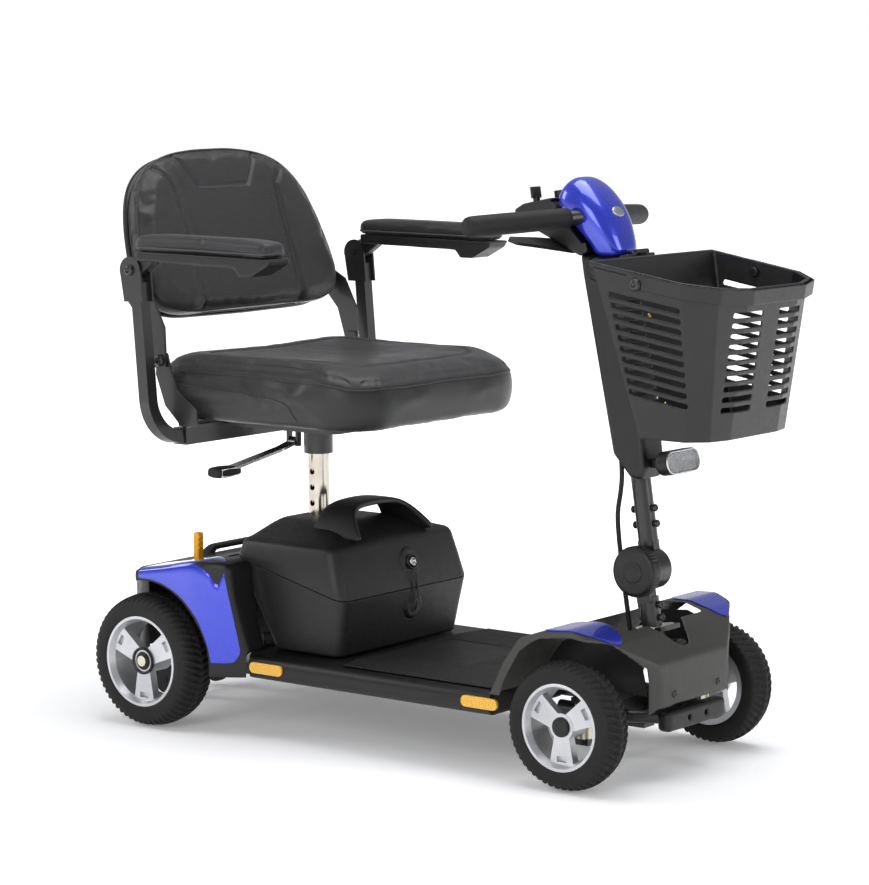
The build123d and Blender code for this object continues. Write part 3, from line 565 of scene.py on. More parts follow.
carried = {
    "frameBlack": ("main_frame", "drive_motor", "handlebar", "tiller_tube", "seat_frame", "back_frame",
                   "arm_frame_left", "arm_frame_right", "steering_column", "tie_rod"),
    "rimSilver": ("rear_rim_left", "rear_rim_right", "front_rim_left", "front_rim_right"),
    "zincPlated": ("rear_axle_left", "rear_axle_right", "steering_knuckle_left", "steering_knuckle_right"),
    "brightSteel": ("swivel_lever",),
    "castAlloy": ("transaxle_case",),
    "postPlated": ("seat_post",),
    "foamBlack": ("anti_tip_wheels",),
    "bodyBlack": ("throttle_lever", "speed_dial", "key", "arm_screw_left", "arm_screw_right"),
    "cellGrey": ("battery_cells",),
    "reflectorAmber": ("side_reflectors",),
    "lensClear": ("headlight_lens",),
}
for finishName, members in carried.items():
    for member in members:
        dress(nodes[member], finishName)
        for polygon in nodes[member].data.polygons:
            polygon.use_smooth = False
print("CAD pieces finished")

# covers and boxes: node, new piece, body, voxel size, smoothing rounds, then slot and finish
# where these are not plain black
mouldings = [
    ("rear_shroud", "rearShroudShell", "chassis", 2.2, 44),
    ("front_fairing", "frontFairingShell", "chassis", 2.0, 40, "fairing_grey", "fairingGrey"),
    ("front_bumper", "bumperBar", "chassis", 1.5, 6),
    ("deck_pan", "floorPan", "chassis", 2.2, 6),
    ("tiller_cover", "tillerCoverShell", "tiller", 1.5, 24),
    ("console", "consoleShell", "tiller", 1.3, 16),
    ("headlight_housing", "headlightShell", "tiller", 1.0, 5),
    ("arm_tray_left", "armTrayShellLeft", "armrest_left", 1.4, 12),
    ("arm_tray_right", "armTrayShellRight", "armrest_right", 1.4, 12),
    ("adjuster_knob", "knobShell", "knob", 0.8, 3),
    ("basket", "basketShell", "basket_body", 1.2, 7, "body_black", "basketBlack"),
    ("bail_handle", "bailShell", "bail", 0.9, 3, "body_black", "basketBlack"),
    ("freewheel_lever", "freewheelGrip", "drive_lever", 0.7, 4, "yellow_plastic", "leverYellow"),
]
shells = {}
for node, name, body, voxel, rounds, *look in mouldings:
    slotName, finishName = look or ("body_black", "bodyBlack")
    shells[node] = moulded(name, node, body, finishName, voxel, rounds) or nodes[node]
# the front fairing's crown sits a little lower than the plain shell's
crown = at(0, 0, 200).z
for vertex in shells["front_fairing"].data.vertices:
    vertex.co.z = min(vertex.co.z, crown + (vertex.co.z - crown) * 0.7)
print("mouldings eased")


# ---- coloured panels let into the mudguards

# each row crosses the panel: edge nearest the wheel, a place on the bend, inner edge
rearRows = [
    ((-13, 232, 223), (-13, 232, 236), (-13, 170, 238)), ((21, 232, 222), (22, 232, 243), (24, 168, 244)),
    ((52, 232, 212), (60, 232, 251), (66, 170, 252)), ((80, 232, 195), (95, 232, 257), (104, 176, 258)),
    ((102, 231, 171), (122, 227, 240), (134, 200, 259)),
    ((109, 230, 157), (128, 224, 200), (143, 214, 246)),
    ((116, 228, 142), (136, 220, 165), (150, 211, 205)),
    ((121, 227, 124), (142, 217, 135), (161, 204, 142)),
    ((122, 227, 117), (142, 217, 120), (163, 203, 124)),
    ((124, 226, 109), (140, 218, 109), (154, 209, 110)),
]
frontRows = [
    ((702, 190, 223), (702, 156, 224), (702, 122, 224)),
    ((716, 190, 225), (716, 152, 226), (716, 112, 226)),
    ((730, 189, 227), (730, 149, 227), (732, 108, 228)),
    ((744, 184, 227), (746, 146, 227), (750, 108, 227)),
    ((760, 176, 219), (764, 144, 218), (768, 112, 216)),
    ((774, 163, 209), (778, 142, 207), (783, 121, 203)),
    ((784, 150, 203), (787, 142, 200), (790, 134, 198)),
]


def bendThrough(points, steps):
    # a smooth run through the points of a row, or of a column of rows
    made = []
    for span in range(len(points) - 1):
        first = points[max(span - 1, 0)]
        second, third = points[span], points[span + 1]
        fourth = points[min(span + 2, len(points) - 1)]
        for step in range(steps + (span == len(points) - 2)):
            t = step / steps
            made.append(0.5 * ((2 * second) + (third - first) * t
                               + (2 * first - 5 * second + 4 * third - fourth) * t ** 2
                               + (3 * second - first - 3 * third + fourth) * t ** 3))
    return made


def inlay(rows, sign, shell):
    # a thin sheet through the rows, laid on the shell; sign is 1 for the left side, -1 for the right
    rows = [[at(x, y * sign, z) for x, y, z in row] for row in rows]
    columns = [bendThrough([row[place] for row in rows], 6) for place in range(3)]
    tree = skinOf(shell)
    points, parts = [], 9
    for crossing in zip(*columns):
        run = [crossing[0].lerp(crossing[1], step / parts) for step in range(parts)]
        run += [crossing[1].lerp(crossing[2], step / parts) for step in range(parts + 1)]
        points += hug(run, tree, 1.1)
    piece = sheet("panel", points, 2 * parts + 1)
    modify(piece, "SMOOTH", factor=0.5, iterations=4)
    modify(piece, "SOLIDIFY", thickness=1.6 * mm, offset=0.0)
    modify(piece, "BEVEL", width=0.5 * mm, segments=2, limit_method="ANGLE")
    modify(piece, "SUBSURF", levels=1)
    bake(piece)
    return piece


# ---- tyres

# outer face from the middle of the scooter, width, rim radius, outer radius, number of lugs
tyreSizes = {"rear": (246.0, 60.0, 68.0, 100.0, 58), "front": (208.0, 47.0, 60.7, 90.0, 52)}


def ease(value, low, high):
    share = min(1.0, max(0.0, (value - low) / (high - low)))
    return share * share * (3 - 2 * share)


def makeTyre(end, side):
    faceOut, width, rim, outer, lugs = tyreSizes[end]
    joint = joints[f"{end}_wheel_{side}_spin"]
    hub = Vector((joint["pos_m"][0], 0, joint["pos_m"][2]))
    sign = 1 if side == "left" else -1
    half = width / 2
    middle = faceOut - half
    outline = [(half - 5, rim - 3.2), (half + 0.6, rim + 0.4), (half + 1.6, rim + 5),
               (half + 2.0, rim + 12), (half + 1.4, rim + 18)]
    drop = 5.2
    steps = 26
    start = rim + 21
    outline.append((half + 0.2, start))
    shoulder = (half - 4.5, outer - drop + 0.4)
    outline.append(((half + 0.2 + shoulder[0]) / 2 + 0.8, (start + shoulder[1]) / 2))
    tread = []
    for step in range(steps + 1):
        across = shoulder[0] * (1 - 2 * step / steps)
        tread.append((across, outer - drop * (across / shoulder[0]) ** 2 * 0.92))
    outline = outline + tread + [(-across, radius) for across, radius in reversed(outline)]
    around = lugs * 7
    loops = []
    for step in range(around):
        angle = 2 * math.pi * step / around
        loop = []
        for across, radius in outline:
            edge = abs(across)
            phase = (lugs * angle / (2 * math.pi) + edge / half * 0.9) % 1.0
            bar = ease(phase, 0.06, 0.16) * (1 - ease(phase, 0.56, 0.66))
            groove = 1 - ease(abs(edge - half * 0.34), 0.7, 1.7) if edge < half - 5 else 0.0
            onTread = ease(radius, start - 2, start + 4)
            depth = 3.0 * (1 - bar) * onTread * ease(edge, 1.0, 3.0) + 1.8 * groove * onTread
            reach = (radius - depth) * mm
            place = (middle + across) * sign * mm
            loop.append(hub + Vector((reach * math.sin(angle), place, reach * math.cos(angle))))
        loops.append(loop)
    piece = rings(f"{end}Tyre{side.title()}", loops, wrap=True)
    settle(piece, f"{end}_wheel_{side}", "tyreRubber", (f"{end}_tyre_{side}",))


for end in ("rear", "front"):
    for side in ("left", "right"):
        makeTyre(end, side)
print("tyres made")


# ---- padded pieces

def puff(piece, voxel, pressure, limit):
    # air pressure inside a cloth skin; no point may move further than the limit
    modify(piece, "REMESH", mode="VOXEL", voxel_size=voxel * mm)
    bake(piece)
    before = [vertex.co.copy() for vertex in piece.data.vertices]
    cloth = piece.modifiers.new("cloth", "CLOTH")
    cloth.settings.use_pressure = True
    cloth.settings.uniform_pressure_force = pressure
    cloth.settings.effector_weights.gravity = 0
    cloth.settings.quality = 5
    cloth.settings.tension_stiffness = 12
    cloth.settings.compression_stiffness = 12
    cloth.settings.bending_stiffness = 0.6
    for step in range(1, 21):
        bpy.context.scene.frame_set(step)
    graph = bpy.context.evaluated_depsgraph_get()
    swollen = piece.evaluated_get(graph)
    after = [vertex.co.copy() for vertex in swollen.data.vertices]
    piece.modifiers.clear()
    for vertex, old, new in zip(piece.data.vertices, before, after):
        move = new - old
        if move.length > limit * mm:
            move = move * (limit * mm / move.length)
        vertex.co = old + move
    bpy.context.scene.frame_set(1)


def smoothed(piece, rounds):
    modify(piece, "SMOOTH", factor=0.5, iterations=rounds)
    modify(piece, "SUBSURF", levels=1)
    bake(piece)


def segmentGap(point, first, second):
    # distance in a plane from a point to a straight piece of seam
    run = (second[0] - first[0], second[1] - first[1])
    size = run[0] ** 2 + run[1] ** 2
    share = max(0.0, min(1.0, ((point[0] - first[0]) * run[0] + (point[1] - first[1]) * run[1]) / size))
    return math.hypot(point[0] - first[0] - run[0] * share, point[1] - first[1] - run[1] * share)


def seamDepth(point, seams, width):
    # 1 on a seam, falling to nothing a few widths away from it
    gap = min(segmentGap(point, *ends) for seam in seams for ends in zip(seam, seam[1:]))
    return math.exp(-(gap / width) ** 2)


def along(points, spacing):
    # evenly spaced points on a run of straight pieces
    made = [Vector(points[0])]
    for first, second in zip(points, points[1:]):
        first, second = Vector(first), Vector(second)
        parts = max(1, round((second - first).length / spacing))
        made += [first.lerp(second, part / parts) for part in range(1, parts + 1)]
    return made


def stitches(name, line, body, length=3.6, gap=2.4, radius=0.45):
    # a row of short thread loops lying on a seam
    made = []
    run = along(line, (length + gap) * mm)
    share = length / (length + gap)
    for first, second in zip(run, run[1:]):
        thread = [first, first.lerp(second, share * 0.5), first.lerp(second, share)]
        made.append(hose("stitch", thread, radius, sides=8))
    return settle(join(name, made), body, "threadGrey")


cushion = {"middle": 198.0, "length": 404.0, "width": 430.0, "low": 463.0, "seam": 548.0, "dip": 15.0,
           "frontCorner": 78.0, "rearCorner": 44.0, "limit": 5.0, "pressure": 3.0}


def cornered(middle, halfX, halfY, front, rear, steps):
    # a rectangle with rounded corners, whose front and rear corners may differ
    loop = []
    for turn, (sx, sy) in enumerate(((1, 1), (-1, 1), (-1, -1), (1, -1))):
        corner = front if sx > 0 else rear
        for step in range(steps + 1):
            angle = math.pi / 2 * (turn + step / steps)
            loop.append((middle + sx * (halfX - corner) + corner * math.cos(angle),
                         sy * (halfY - corner) + corner * math.sin(angle)))
    return loop


def roundedPlan(length, width, corner):
    return cornered(0, length / 2, width / 2, corner, corner, 8)


def seatPlan(inset, steps=12):
    # the cushion's plan, drawn in by inset
    halfX, halfY = cushion["length"] / 2 - inset, cushion["width"] / 2 - inset
    corners = [min(max(cushion[end] - inset * 0.6, 14.0), halfX * 0.9) for end in ("frontCorner", "rearCorner")]
    return cornered(cushion["middle"], halfX, halfY, *corners, steps)


def seamHeight(x):
    # level along the sides, dipping over the front edge
    return cushion["seam"] - cushion["dip"] * ease(x, 270, 400)


def evenOut(line, rounds=6):
    # takes the jitter out of a closed line of points
    for turn in range(rounds):
        line = [(before + point * 2 + after) / 4
                for before, point, after in zip(line[-1:] + line[:-1], line, line[1:] + line[:1])]
    return line


def seatCushion():
    low = cushion["low"]
    walls = [(0.0, 18), (0.02, 10), (0.1, 5), (0.28, 1.5), (0.5, 0), (0.72, 1), (0.88, 4), (1.0, 9)]
    tops = [(15, 3.5), (26, 6), (44, 7), (70, 5.5), (105, 2.5), (150, 0.5)]
    tuck = 3
    loops = [[at(x, y, low + (seamHeight(x) - low) * share) for x, y in seatPlan(inset + tuck)]
             for share, inset in walls]
    loops += [[at(x, y, seamHeight(x) + rise) for x, y in seatPlan(inset + tuck)] for inset, rise in tops]
    piece = rings("seatCushionPad", loops)
    puff(piece, 5.0, cushion["pressure"], cushion["limit"])
    smoothed(piece, 5)
    centre = at(cushion["middle"], 0, 0)
    panel = seatPlan(64, 4)
    panel = [panel + panel[:1]]
    for vertex in piece.data.vertices:
        point = vertex.co
        x, y = (point.x - baseX) / mm, point.y / mm
        outward = Vector((point.x - centre.x, point.y, 0)).normalized()
        gap = point.z / mm - seamHeight(x)
        if abs(gap) < 24 and min(202 - abs(x - cushion["middle"]), 215 - abs(y)) < 30:
            # the sewn edge pulls the skin in, with small puckers beside it
            pucker = 0.5 + 0.5 * math.sin(x * 0.42 + y * 0.39)
            pull = 1.8 * math.exp(-(gap / 3.0) ** 2) + 0.6 * pucker * math.exp(-(gap / 9.0) ** 2)
            point -= outward * (pull * mm)
        if gap > -4:
            # pressed panel line, a shallow seat and soft creases
            depth = 2.6 * seamDepth((x, y), panel, 4.0)
            depth += 5.0 * (1 - ease(math.hypot((x - 150) / 170, y / 175), 0.1, 1.0))
            crease = turbulence(Vector((x * 0.006, y * 0.014, 3.0)), 3, False)
            depth += 1.6 * crease * (1 - ease(math.hypot((x - 210) / 200, y / 215), 0.7, 1.0))
            point.z -= depth * mm
        point.z = max(at(0, 0, low).z, point.z)
        point.y = max(-0.2155, min(0.2155, point.y))
        point.x = max(baseX - 4 * mm, min(baseX + 400 * mm, point.x))
    settle(piece, "seat", "vinylPlain", ("seat_cushion",))
    outer = [at(x, y, seamHeight(x)) for x, y in seatPlan(-12, 30)]
    tree = skinOf(piece)
    line = evenOut(hug(along(outer + outer[:1], 6 * mm)[:-1], tree, 0.4))
    settle(hose("seatPiping", line, 1.3, closed=True), "seat", "vinylPlain")
    above = [point + Vector((0, 0, 4.2 * mm)) for point in line]
    row = evenOut(hug(above, tree, 0.2), 2)
    stitches("seatStitching", row + row[:1], "seat")
    sideSeam = ((22, 522), (90, 516), (170, 511), (232, 504), (258, 492), (276, 466))
    for side, sign in sides:
        seam = hug(bendThrough([at(x, sign * 225, z) for x, z in sideSeam], 8), tree, 0.1)
        settle(hose(f"seatSideSeam{side.title()}", seam, 0.9), "seat", "vinylPlain")


backPad = {"foot": (-15.0, 605.0), "lean": 19.5, "pressure": 3.0, "limit": 6.0,
           "outline": [(0, -6), (168, -4), (206, 6), (221, 30), (223, 70), (214, 128), (204, 166), (186, 204),
                       (150, 236), (92, 255), (0, 260)],
           "seams": [[(154, 240), (117, 190), (115, 130), (112, 0)],
                     [(-154, 240), (-117, 190), (-115, 130), (-112, 0)],
                     [(98, 254), (56, 194), (-56, 194), (-98, 254)]]}
lean = math.radians(backPad["lean"])
backUp = Vector((-math.sin(lean), 0, math.cos(lean)))
backOut = Vector((math.cos(lean), 0, math.sin(lean)))
backFoot = at(backPad["foot"][0], 0, backPad["foot"][1])


def onBack(y, height, out):
    return backFoot + Vector((0, y * mm, 0)) + backUp * (height * mm) + backOut * (out * mm)


def seatBack():
    half = backPad["outline"]
    whole = half + [(-y, height) for y, height in reversed(half) if y > 0]
    whole = whole[1:] if whole[0] == whole[-1] else whole
    whole = evenOut(along([(y, height, 0) for y, height in whole + whole[:1]], 9)[:-1], 14)
    middle = 128.0

    def backLoop(out, share):
        return [onBack(point.x * share, middle + (point.y - middle) * share, out) for point in whole]

    layers = [(10.0, 0.95), (11.0, 0.985), (16.0, 0.997), (34.0, 0.99), (41.0, 0.968), (44.0, 0.925)]
    piece = rings("backrestPad", [backLoop(*layer) for layer in layers])
    puff(piece, 4.5, backPad["pressure"], backPad["limit"])
    smoothed(piece, 3)
    for vertex in piece.data.vertices:
        offset = vertex.co - backFoot
        y, height, out = vertex.co.y / mm, offset.dot(backUp) / mm, offset.dot(backOut) / mm
        if out > 26:
            # bolsters stand proud of the middle panel, and the seams are drawn in
            panel = 1 - ease(abs(y), 96, 134)
            depth = 7.0 * panel * ease(out, 30, 42) + 4.0 * seamDepth((y, height), backPad["seams"], 4.0)
            vertex.co -= backOut * (depth * mm)
        elif out < 9.5:
            vertex.co += backOut * ((9.5 - out) * mm)
    settle(piece, "back", "vinylRidged", ("backrest",))
    tree = skinOf(piece)
    for count, seam in enumerate(backPad["seams"]):
        points = along([(y, height, 0) for y, height in seam], 4)
        for side in (-3.2, 3.2):
            row = []
            for step, point in enumerate(points):
                after = points[min(step + 1, len(points) - 1)] - points[max(step - 1, 0)]
                across = Vector((-after.y, after.x)).normalized() * side
                row.append(onBack(point.x + across.x, min(max(point.y + across.y, 6), 246), 60))
            stitches(f"backStitching{count}{'ab'[side > 0]}", hug(row, tree, 0.1), "back")
    for name, out, lift, radius in (("backPiping", 40, 0.5, 1.6), ("backRearPiping", 14, 0.3, 1.4)):
        line = evenOut(hug(backLoop(out, 1.03), tree, lift), 8)
        settle(hose(name, line, radius, closed=True), "back", "vinylPlain")
    shellLoops = [backLoop(*layer) for layer in ((1.0, 0.955), (4.0, 0.975), (9.0, 0.965), (11.0, 0.94))]
    settle(rings("backrestShell", shellLoops), "back", "bodyBlack")


armPad = {"start": 32.0, "end": 289.0, "half": 23.5, "low": 716.5, "high": 738.0, "across": 258.0,
          "slope": 0.012}


def armPads():
    length = armPad["end"] - armPad["start"]
    middle = (armPad["end"] + armPad["start"]) / 2
    low, high, width = armPad["low"], armPad["high"], 2 * armPad["half"]
    layers = ((low, 2.0), (low + 3, 0.0), (high - 9, 0.0), (high - 4, 2.0), (high - 1.5, 5.0), (high, 10.0))

    def padLoop(sign, plan, height):
        return [at(middle + x, sign * armPad["across"] + y, height - armPad["slope"] * (x + length / 2))
                for x, y in plan]

    for side, sign in sides:
        loops = [padLoop(sign, roundedPlan(length - 2 * tuck, width - 2 * tuck, 12 - tuck * 0.4), height)
                 for height, tuck in layers]
        piece = rings(f"armPadSoft{side.title()}", loops)
        puff(piece, 3.0, 3.0, 3.0)
        smoothed(piece, 2)
        settle(piece, f"armrest_{side}", "vinylPlain", (f"arm_pad_{side}",))
        line = hug(padLoop(sign, roundedPlan(length + 8, width + 8, 15), 720.5), skinOf(piece), 0.4)
        piping = hose(f"armPiping{side.title()}", line, 1.2, closed=True)
        settle(piping, f"armrest_{side}", "threadGrey")


panels = [inlay(rows, sign, shells[node])
          for rows, node in ((rearRows, "rear_shroud"), (frontRows, "front_fairing")) for sign in (1, -1)]
settle(join("colourInlays", panels), "chassis", "blueGloss", ("body_inlays",))
print("coloured panels made")

seatCushion()
print("seat cushion made")
seatBack()
print("backrest made")
armPads()
print("arm pads made")


# ---- tiller head

# height up the tiller, rear reach, front reach, half width
cowlRings = [
    (437, -14, 35, 29), (452, -15, 33.5, 34), (470, -27, 31, 38.5), (490, -42, 27, 42.5),
    (508, -56, 20, 44.5), (520, -62, 13, 44), (531, -58, 5, 41.5), (540, -52, -3, 37.5),
    (547, -45, -11, 31), (552, -38, -18, 23), (555, -33, -24, 12),
]


def headCowl():
    power, droop = 0.72, 0.09
    loops = []
    for height, rear, front, half in cowlRings:
        centre, reach = (rear + front) / 2, (front - rear) / 2
        plan = turned(40, lambda cosine, sine: (centre + reach * squared(cosine, power),
                                                half * squared(sine, power)))
        loops.append([onTiller(d, y, height - droop * (d - centre)) for d, y in plan])
    piece = rings("headCowlShell", loops)
    modify(piece, "SUBSURF", levels=2)
    bake(piece)
    settle(piece, "tiller", "blueGloss", ("head_cowl",))
    # a plain oval plate in the badge's place
    centre = onTiller(12, 0, 512)
    place, normal = skinOf(piece).find_nearest(centre + ahead * 0.04)[:2]
    tall = (up - normal * up.dot(normal)).normalized()
    wide = normal.cross(tall)
    halfWide, halfTall = 13, 8
    loops = [turned(48, lambda cosine, sine: place + normal * (lift * mm)
                    + wide * (halfWide * share * cosine * mm) + tall * (halfTall * share * sine * mm))
             for lift, share in ((-1.0, 1.0), (0.8, 1.0), (1.4, 0.93), (1.2, 0.86), (1.6, 0.8), (1.7, 0.3))]
    settle(rings("plainBadge", loops), "tiller", "brightSteel")


headCowl()


def lampParts():
    # a metallised bowl, a row of small emitters and a bright rim round the lens
    level, halfRun, radius = 146, 25, 14.4
    facing = turned(64, lambda cosine, sine: (math.copysign(halfRun, cosine) + radius * cosine,
                                              radius * sine))
    bowl = [[onTiller(depth, y * share, level + height * share) for y, height in facing]
            for depth, share in ((73.2, 0.985), (66.0, 0.86), (65.0, 0.5), (64.8, 0.05))]
    settle(rings("lampBowl", bowl, closedEnds=False), "tiller", "lampSilver")
    rim = [onTiller(79.6, y * 1.03, level + height * 1.05) for y, height in facing]
    settle(hose("lampRim", rim, 1.1, closed=True), "tiller", "brightSteel")
    dome = [(-1, 3.6), (0.4, 3.6), (1.8, 2.6), (2.4, 0.4)]
    emitters = [lathe("emitter", onTiller(65.5, y, level), ahead, dome, 24) for y in (-26, -13, 0, 13, 26)]
    settle(join("lampEmitters", emitters), "tiller", "lampSilver")


lampParts()
print("tiller head made")


# ---- cable across the tilt joint

def controlCable():
    route = [(-12, -16, 168), (-13, -16, 140), (-20, -15.5, 112), (-31, -14.5, 84), (-34, -14, 50),
             (-34.5, -14, 20), (-34.5, -14, -10), (-34.5, -14, -40), (-34, -14, -80), (-33, -14, -120),
             (-31, -14, -154)]
    radius = 3.4
    piece = hose("controlCable", [onTiller(*point) for point in route], radius, sides=16, kind="NURBS")
    dress(piece, "foamBlack")
    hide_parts("cable_upper", "cable_lower")
    tuple(onTiller(-34, -14, -30))
    tuple(onTiller(-34, -14, 34))
    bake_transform(piece)


controlCable()
print("cable made")


# ---- deck mat

matSize = {"start": 322.0, "end": 609.0, "half": 178.0, "high": 124.0, "pitch": 7.0}


def deckMat():
    # a raised sheet with a plain middle panel, ribs on the left and round dimples elsewhere
    start, half, pitch = matSize["start"], matSize["half"], matSize["pitch"]
    step = 1.4
    columns = int((matSize["end"] - start - 2) / step)
    rows = int(2 * (half - 1) / step)
    points = []
    for column in range(columns + 1):
        x = start + 1 + column * step
        for row in range(rows + 1):
            y = -half + 1 + row * step
            height = matSize["high"]
            inPanel = abs(y) < 78 * (1 - 0.12 * (x - 322) / 287) and x < 480
            if inPanel:
                height -= 1.2
            elif y > 84:
                height -= 0.9 * (0.5 + 0.5 * math.cos(2 * math.pi * y / 8.4)) ** 2
            else:
                gap = math.hypot((x % pitch) - pitch / 2, (y % pitch) - pitch / 2)
                height -= 1.0 * (1 - ease(gap, 1.3, 2.4))
            cut = max(0.0, abs(y) - 120) * 14 / 58
            points.append(at(max(x, start + 1 + cut), y, height))
    piece = sheet("deckMatRelief", points, rows + 1)
    modify(piece, "SOLIDIFY", thickness=1.2 * mm, offset=-1.0)
    bake(piece)
    settle(piece, "chassis", "matRubber", ("deck_mat",))


deckMat()
print("deck mat made")


# ---- small hardware

def leverGrip():
    # soft grip pushed over the end of the seat's swivel lever
    sections = ((-150, 4, 9), (-149, 6.4, 12.5), (-144, 8.2, 14.6), (-128, 8.6, 15.2), (-110, 7.6, 14.8),
                (-104, 6.6, 14.4), (-103, 5.4, 13))
    power = 0.6
    loops = [turned(28, lambda cosine, sine: at(66 + wide * squared(cosine, power), y,
                                                378 + thick * squared(sine, power)))
             for y, thick, wide in sections]
    settle(rings("swivelLeverGrip", loops), "seat_lever", "foamBlack")


def handGrips():
    # foam sleeves from the bar's ends almost to the cowl
    for side, sign in sides:
        end, inner = onTiller(-84, sign * 210, 500), onTiller(-10, sign * 20, 498)
        profile = [(-5.2, 0.2), (-5.0, 5), (-3.4, 9.5), (0, 12.8), (5, 14.3), (12, 14.7), (60, 14.9),
                   (150, 14.6), (163, 14.5), (164, 13.5), (164.2, 11.2)]
        sleeve = lathe(f"foamGrip{side.title()}", end, inner - end, profile, 56)
        settle(sleeve, "tiller", "foamBlack", ("hand_grips",))


def hardware():
    # name, place on the left side, the head's radius and height, body, slot
    heads = (("armHingeScrew", (16, 271.4, 686), (8, 5), "arm_{}", "steel_zinc"),
             ("seatHingeScrew", (30, 226.2, 551), (9, 5), "seat", "steel_zinc"),
             ("bailScrew", (826, 158.6, 691), (8, 3.4), "bail", "body_black"))
    for side, sign in sides:
        out = Vector((0, sign, 0))
        for name, (x, y, z), head, body, slotName in heads:
            screw = buttonHead(name + side.title(), at(x, sign * y, z), out, *head)
            settle(screw, body.format(side), "frameBlack")
        screw = buttonHead(f"noseScrew{side.title()}", at(825, sign * 55, 122), Vector((1, 0, 0)), 5, 3)
        settle(screw, "chassis", "frameBlack")
        ring = lathe(f"hubRing{side.title()}", at(0, sign * 240.4, 100), out,
                     [(-4.0, 20.5), (0.6, 20.5), (1.4, 19.4), (1.0, 17.4), (-2.2, 15.6), (-2.6, 8)], 48)
        settle(ring, f"rear_wheel_{side}", "bodyBlack")
        cap = lathe(f"hubCap{side.title()}", at(738, sign * 202.6, 90), out,
                    [(-4, 13.6), (1.0, 13.6), (2.4, 12.4), (3.2, 9), (3.4, 0.2)], 48)
        settle(cap, f"front_wheel_{side}", "bodyBlack")
    for level in (62, 84):
        for way in (1, -1):
            name = f"tubeScrew{level}{'ab'[way > 0]}"
            screw = buttonHead(name, onTiller(way * 18, 8, level), ahead * way, 5.4, 3.2)
            settle(screw, "tiller", "frameBlack")
    for level in (-50, -68):
        screw = buttonHead(f"stemScrew{-level}", onTiller(18, -8, level), ahead, 5.4, 3.2)
        settle(screw, "steering", "frameBlack")
    clamp = [[onTiller(-1 + x, -1 + y, level) for x, y in roundedPlan(46 + 2 * grow, 46 + 2 * grow, 12)]
             for level, grow in ((-86.8, -0.6), (-86.2, 0.6), (-79.8, 0.6), (-79.0, -0.6))]
    settle(rings("clampPlate", clamp), "steering", "zincPlated")
    knobFace = lathe("knobCap", onTiller(0, -40, 0), Vector((0, -1, 0)),
                     [(-1, 15), (0.6, 15), (1.2, 13.6), (0.4, 12), (0.2, 0.2)], 48)
    settle(knobFace, "knob", "boxBlack")
    rake = 0.23
    rivets = [buttonHead("rivet", at(806 - rake * (z - 480) + 2.9, y, z), Vector((1, 0, rake)), 3.2, 1.6)
              for y in (-42, 42) for z in (520, 640)]
    settle(join("basketRivets", rivets), "basket_body", "goldRivet")
    boss = lathe("coverBossRings", onTiller(-5, -33, 424), Vector((0, -1, 0)),
                 [(-3, 16), (-2.2, 16), (-1.8, 14.5), (-2.6, 13), (-0.2, 10.8), (0.4, 9.6), (-0.6, 8.2),
                  (-0.8, 0.2)], 48)
    settle(boss, "tiller", "bodyBlack")


def slopedRing(x0, x1, half, corner, rear, front):
    # a rounded rectangle whose height runs from rear to front
    loop = []
    for x, y in roundedPlan(x1 - x0, 2 * half, corner):
        x += (x0 + x1) / 2
        loop.append(at(x, y, rear + (front - rear) * (x - 107) / 208))
    return loop


def oblong(count, low, high, width, lift):
    # an upright oblong outline, centred on the charge socket and lifted off the box's front face
    def place(cosine, sine):
        z = (high if sine > 0 else low) + width * sine
        face = 315.2 - max(0.0, z - 209) * 0.29 - max(0.0, 209 - z) * 0.165
        return at(face + lift, 18 + width * cosine, z)
    return turned(count, place)


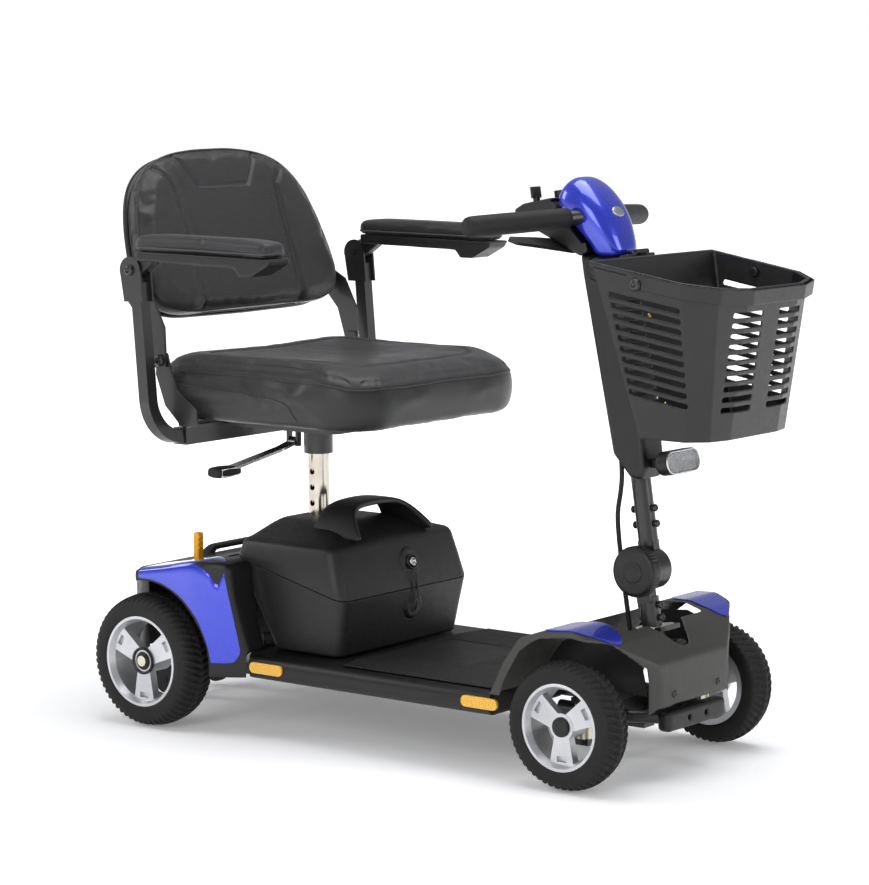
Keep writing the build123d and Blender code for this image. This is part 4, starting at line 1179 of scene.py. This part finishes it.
def batteryBox():
    # tapering tub, slanted joint, then a lid with eased shoulders and a flat top
    # each row: rear and front ends, half width, corner radius, height at the rear and at the front
    tub = [(174, 298, 140, 14, 123.2, 123.2), (170.5, 301, 143, 17, 125.5, 125.5),
           (170, 301.5, 143.4, 18, 128, 128), (139, 308.5, 148.5, 19, 194, 168),
           (109, 315, 153.4, 20, 256.4, 205.4), (108.4, 315.2, 153.6, 20, 257.8, 206.8),
           (110.5, 313, 151.5, 18, 258.2, 207.2)]
    tubPiece = rings("batteryTubShell", [slopedRing(*row) for row in tub])
    settle(tubPiece, "battery", "boxBlack", ("battery_tub",))
    lid = [(110.5, 313, 151.5, 18, 258.8, 207.8), (108.4, 315.2, 153.6, 20, 259.2, 208.2),
           (107.6, 315, 153.8, 20, 260.6, 209.6), (107.6, 306, 150.5, 20, 268, 240),
           (109, 296, 146, 20, 277.5, 275), (110.5, 293, 143.4, 19, 281.2, 280.4),
           (112.5, 289, 139.5, 17, 283.6, 283.4), (115, 280, 128, 16, 286.8, 286.8),
           (118, 244, 84, 15, 300.8, 300.8), (120, 234, 68, 14, 304.8, 304.8),
           (123, 228, 60, 13, 306.4, 306.4), (130, 218, 50, 12, 306.9, 306.9)]
    lidPiece = rings("batteryLidShell", [slopedRing(*row) for row in lid])
    # the arched handle: its feet spread into wedges on the lid
    arch = [(-92, 288, 202, 300), (-88, 297, 203, 294), (-78, 315, 205, 278), (-66, 328, 207, 266),
            (-50, 335.5, 208, 260), (-26, 338.5, 208, 258), (0, 339.4, 208, 258)]
    arch += [(-y, *rest) for y, *rest in reversed(arch[:-1])]
    loops = []
    thick, topEase, underEase = 11, 2.0, 2.4
    for step, (y, z, x0, x1) in enumerate(arch):
        share = min(step, len(arch) - 1 - step) / 6
        slope = math.copysign(1 - ease(share, 0.45, 1.0), -y)
        inY, inZ = slope * thick * 0.8, -thick * (0.45 + 0.55 * ease(share, 0.3, 0.9))
        corners = ((x0 + topEase, 0), (x0, 0.2), (x0, 0.8), (x0 + underEase, 1),
                   (x1 - underEase, 1), (x1, 0.8), (x1, 0.2), (x1 - topEase, 0))
        loops.append([at(x, y + inY * deep, z + inZ * deep) for x, deep in corners])
    handle = rings("lidHandle", loops)
    modify(handle, "SUBSURF", levels=2)
    modify(handle, "SMOOTH", factor=0.4, iterations=2)
    bake(handle)
    # raised oblong plate with the charge socket's mouth at its head
    plate = [oblong(64, 180, 248, 18 + grow, lift)
             for lift, grow in ((-3, 2.0), (1.0, 1.6), (3.0, 0.0), (3.8, -1.6), (3.9, -4.0))]
    platePiece = rings("socketPlate", plate)
    slots = [hose("slotRim", oblong(40, low, high, width, 4.0), 0.9, closed=True)
             for low, high, width in ((196, 226, 5.4), (176, 184, 5.0))]
    mouth = lathe("socketMouth", at(309.4, 18, 246), Vector((0.96, 0, 0.28)),
                  [(-2, 11.6), (1.2, 11.6), (2.2, 10.4), (1.6, 9.2), (-1.0, 8.6), (-1.2, 0.2)], 40)
    whole = join("batteryLidFull", [lidPiece, handle, platePiece, mouth] + slots)
    settle(whole, "battery", "boxBlack", ("battery_lid",))
    pin = lathe("chargePin", at(310.0, 18, 246), Vector((0.96, 0, 0.28)),
                [(-2, 6.6), (2.6, 6.6), (3.4, 5.6), (2.8, 4.6), (0.6, 4.2), (0.6, 1.6), (2.2, 1.5),
                 (2.4, 0.2)], 36)
    settle(pin, "battery", "brightSteel", ("charge_socket",))


def frontLiners():
    # dark walls between the nose and the wheel wells, and the round cap seen in the nose's opening
    outline = [(640, 128), (650, 160), (668, 184), (702, 204), (744, 208), (782, 195), (802, 166), (812, 124)]
    for side, sign in sides:
        points = [at(x, sign * y, z) for y in (99.6, 101.2) for x, z in outline]
        count = len(outline)
        faces = [tuple(range(count)), tuple(range(count, 2 * count))]
        for step in range(count):
            after = (step + 1) % count
            faces.append((step, after, count + after, count + step))
        wall = solid(f"wellLiner{side.title()}", points, faces, False)
        settle(wall, "chassis", "bodyBlack")
    cap = lathe("noseCap", at(776, 0, 170), Vector((1, 0, 0.12)),
                [(0, 15), (24, 15), (27, 14.2), (28.6, 12), (29, 0.2)], 48)
    settle(cap, "chassis", "bodyBlack")


batteryBox()
print("battery box made")
frontLiners()
leverGrip()
handGrips()
hardware()
print("hardware made")
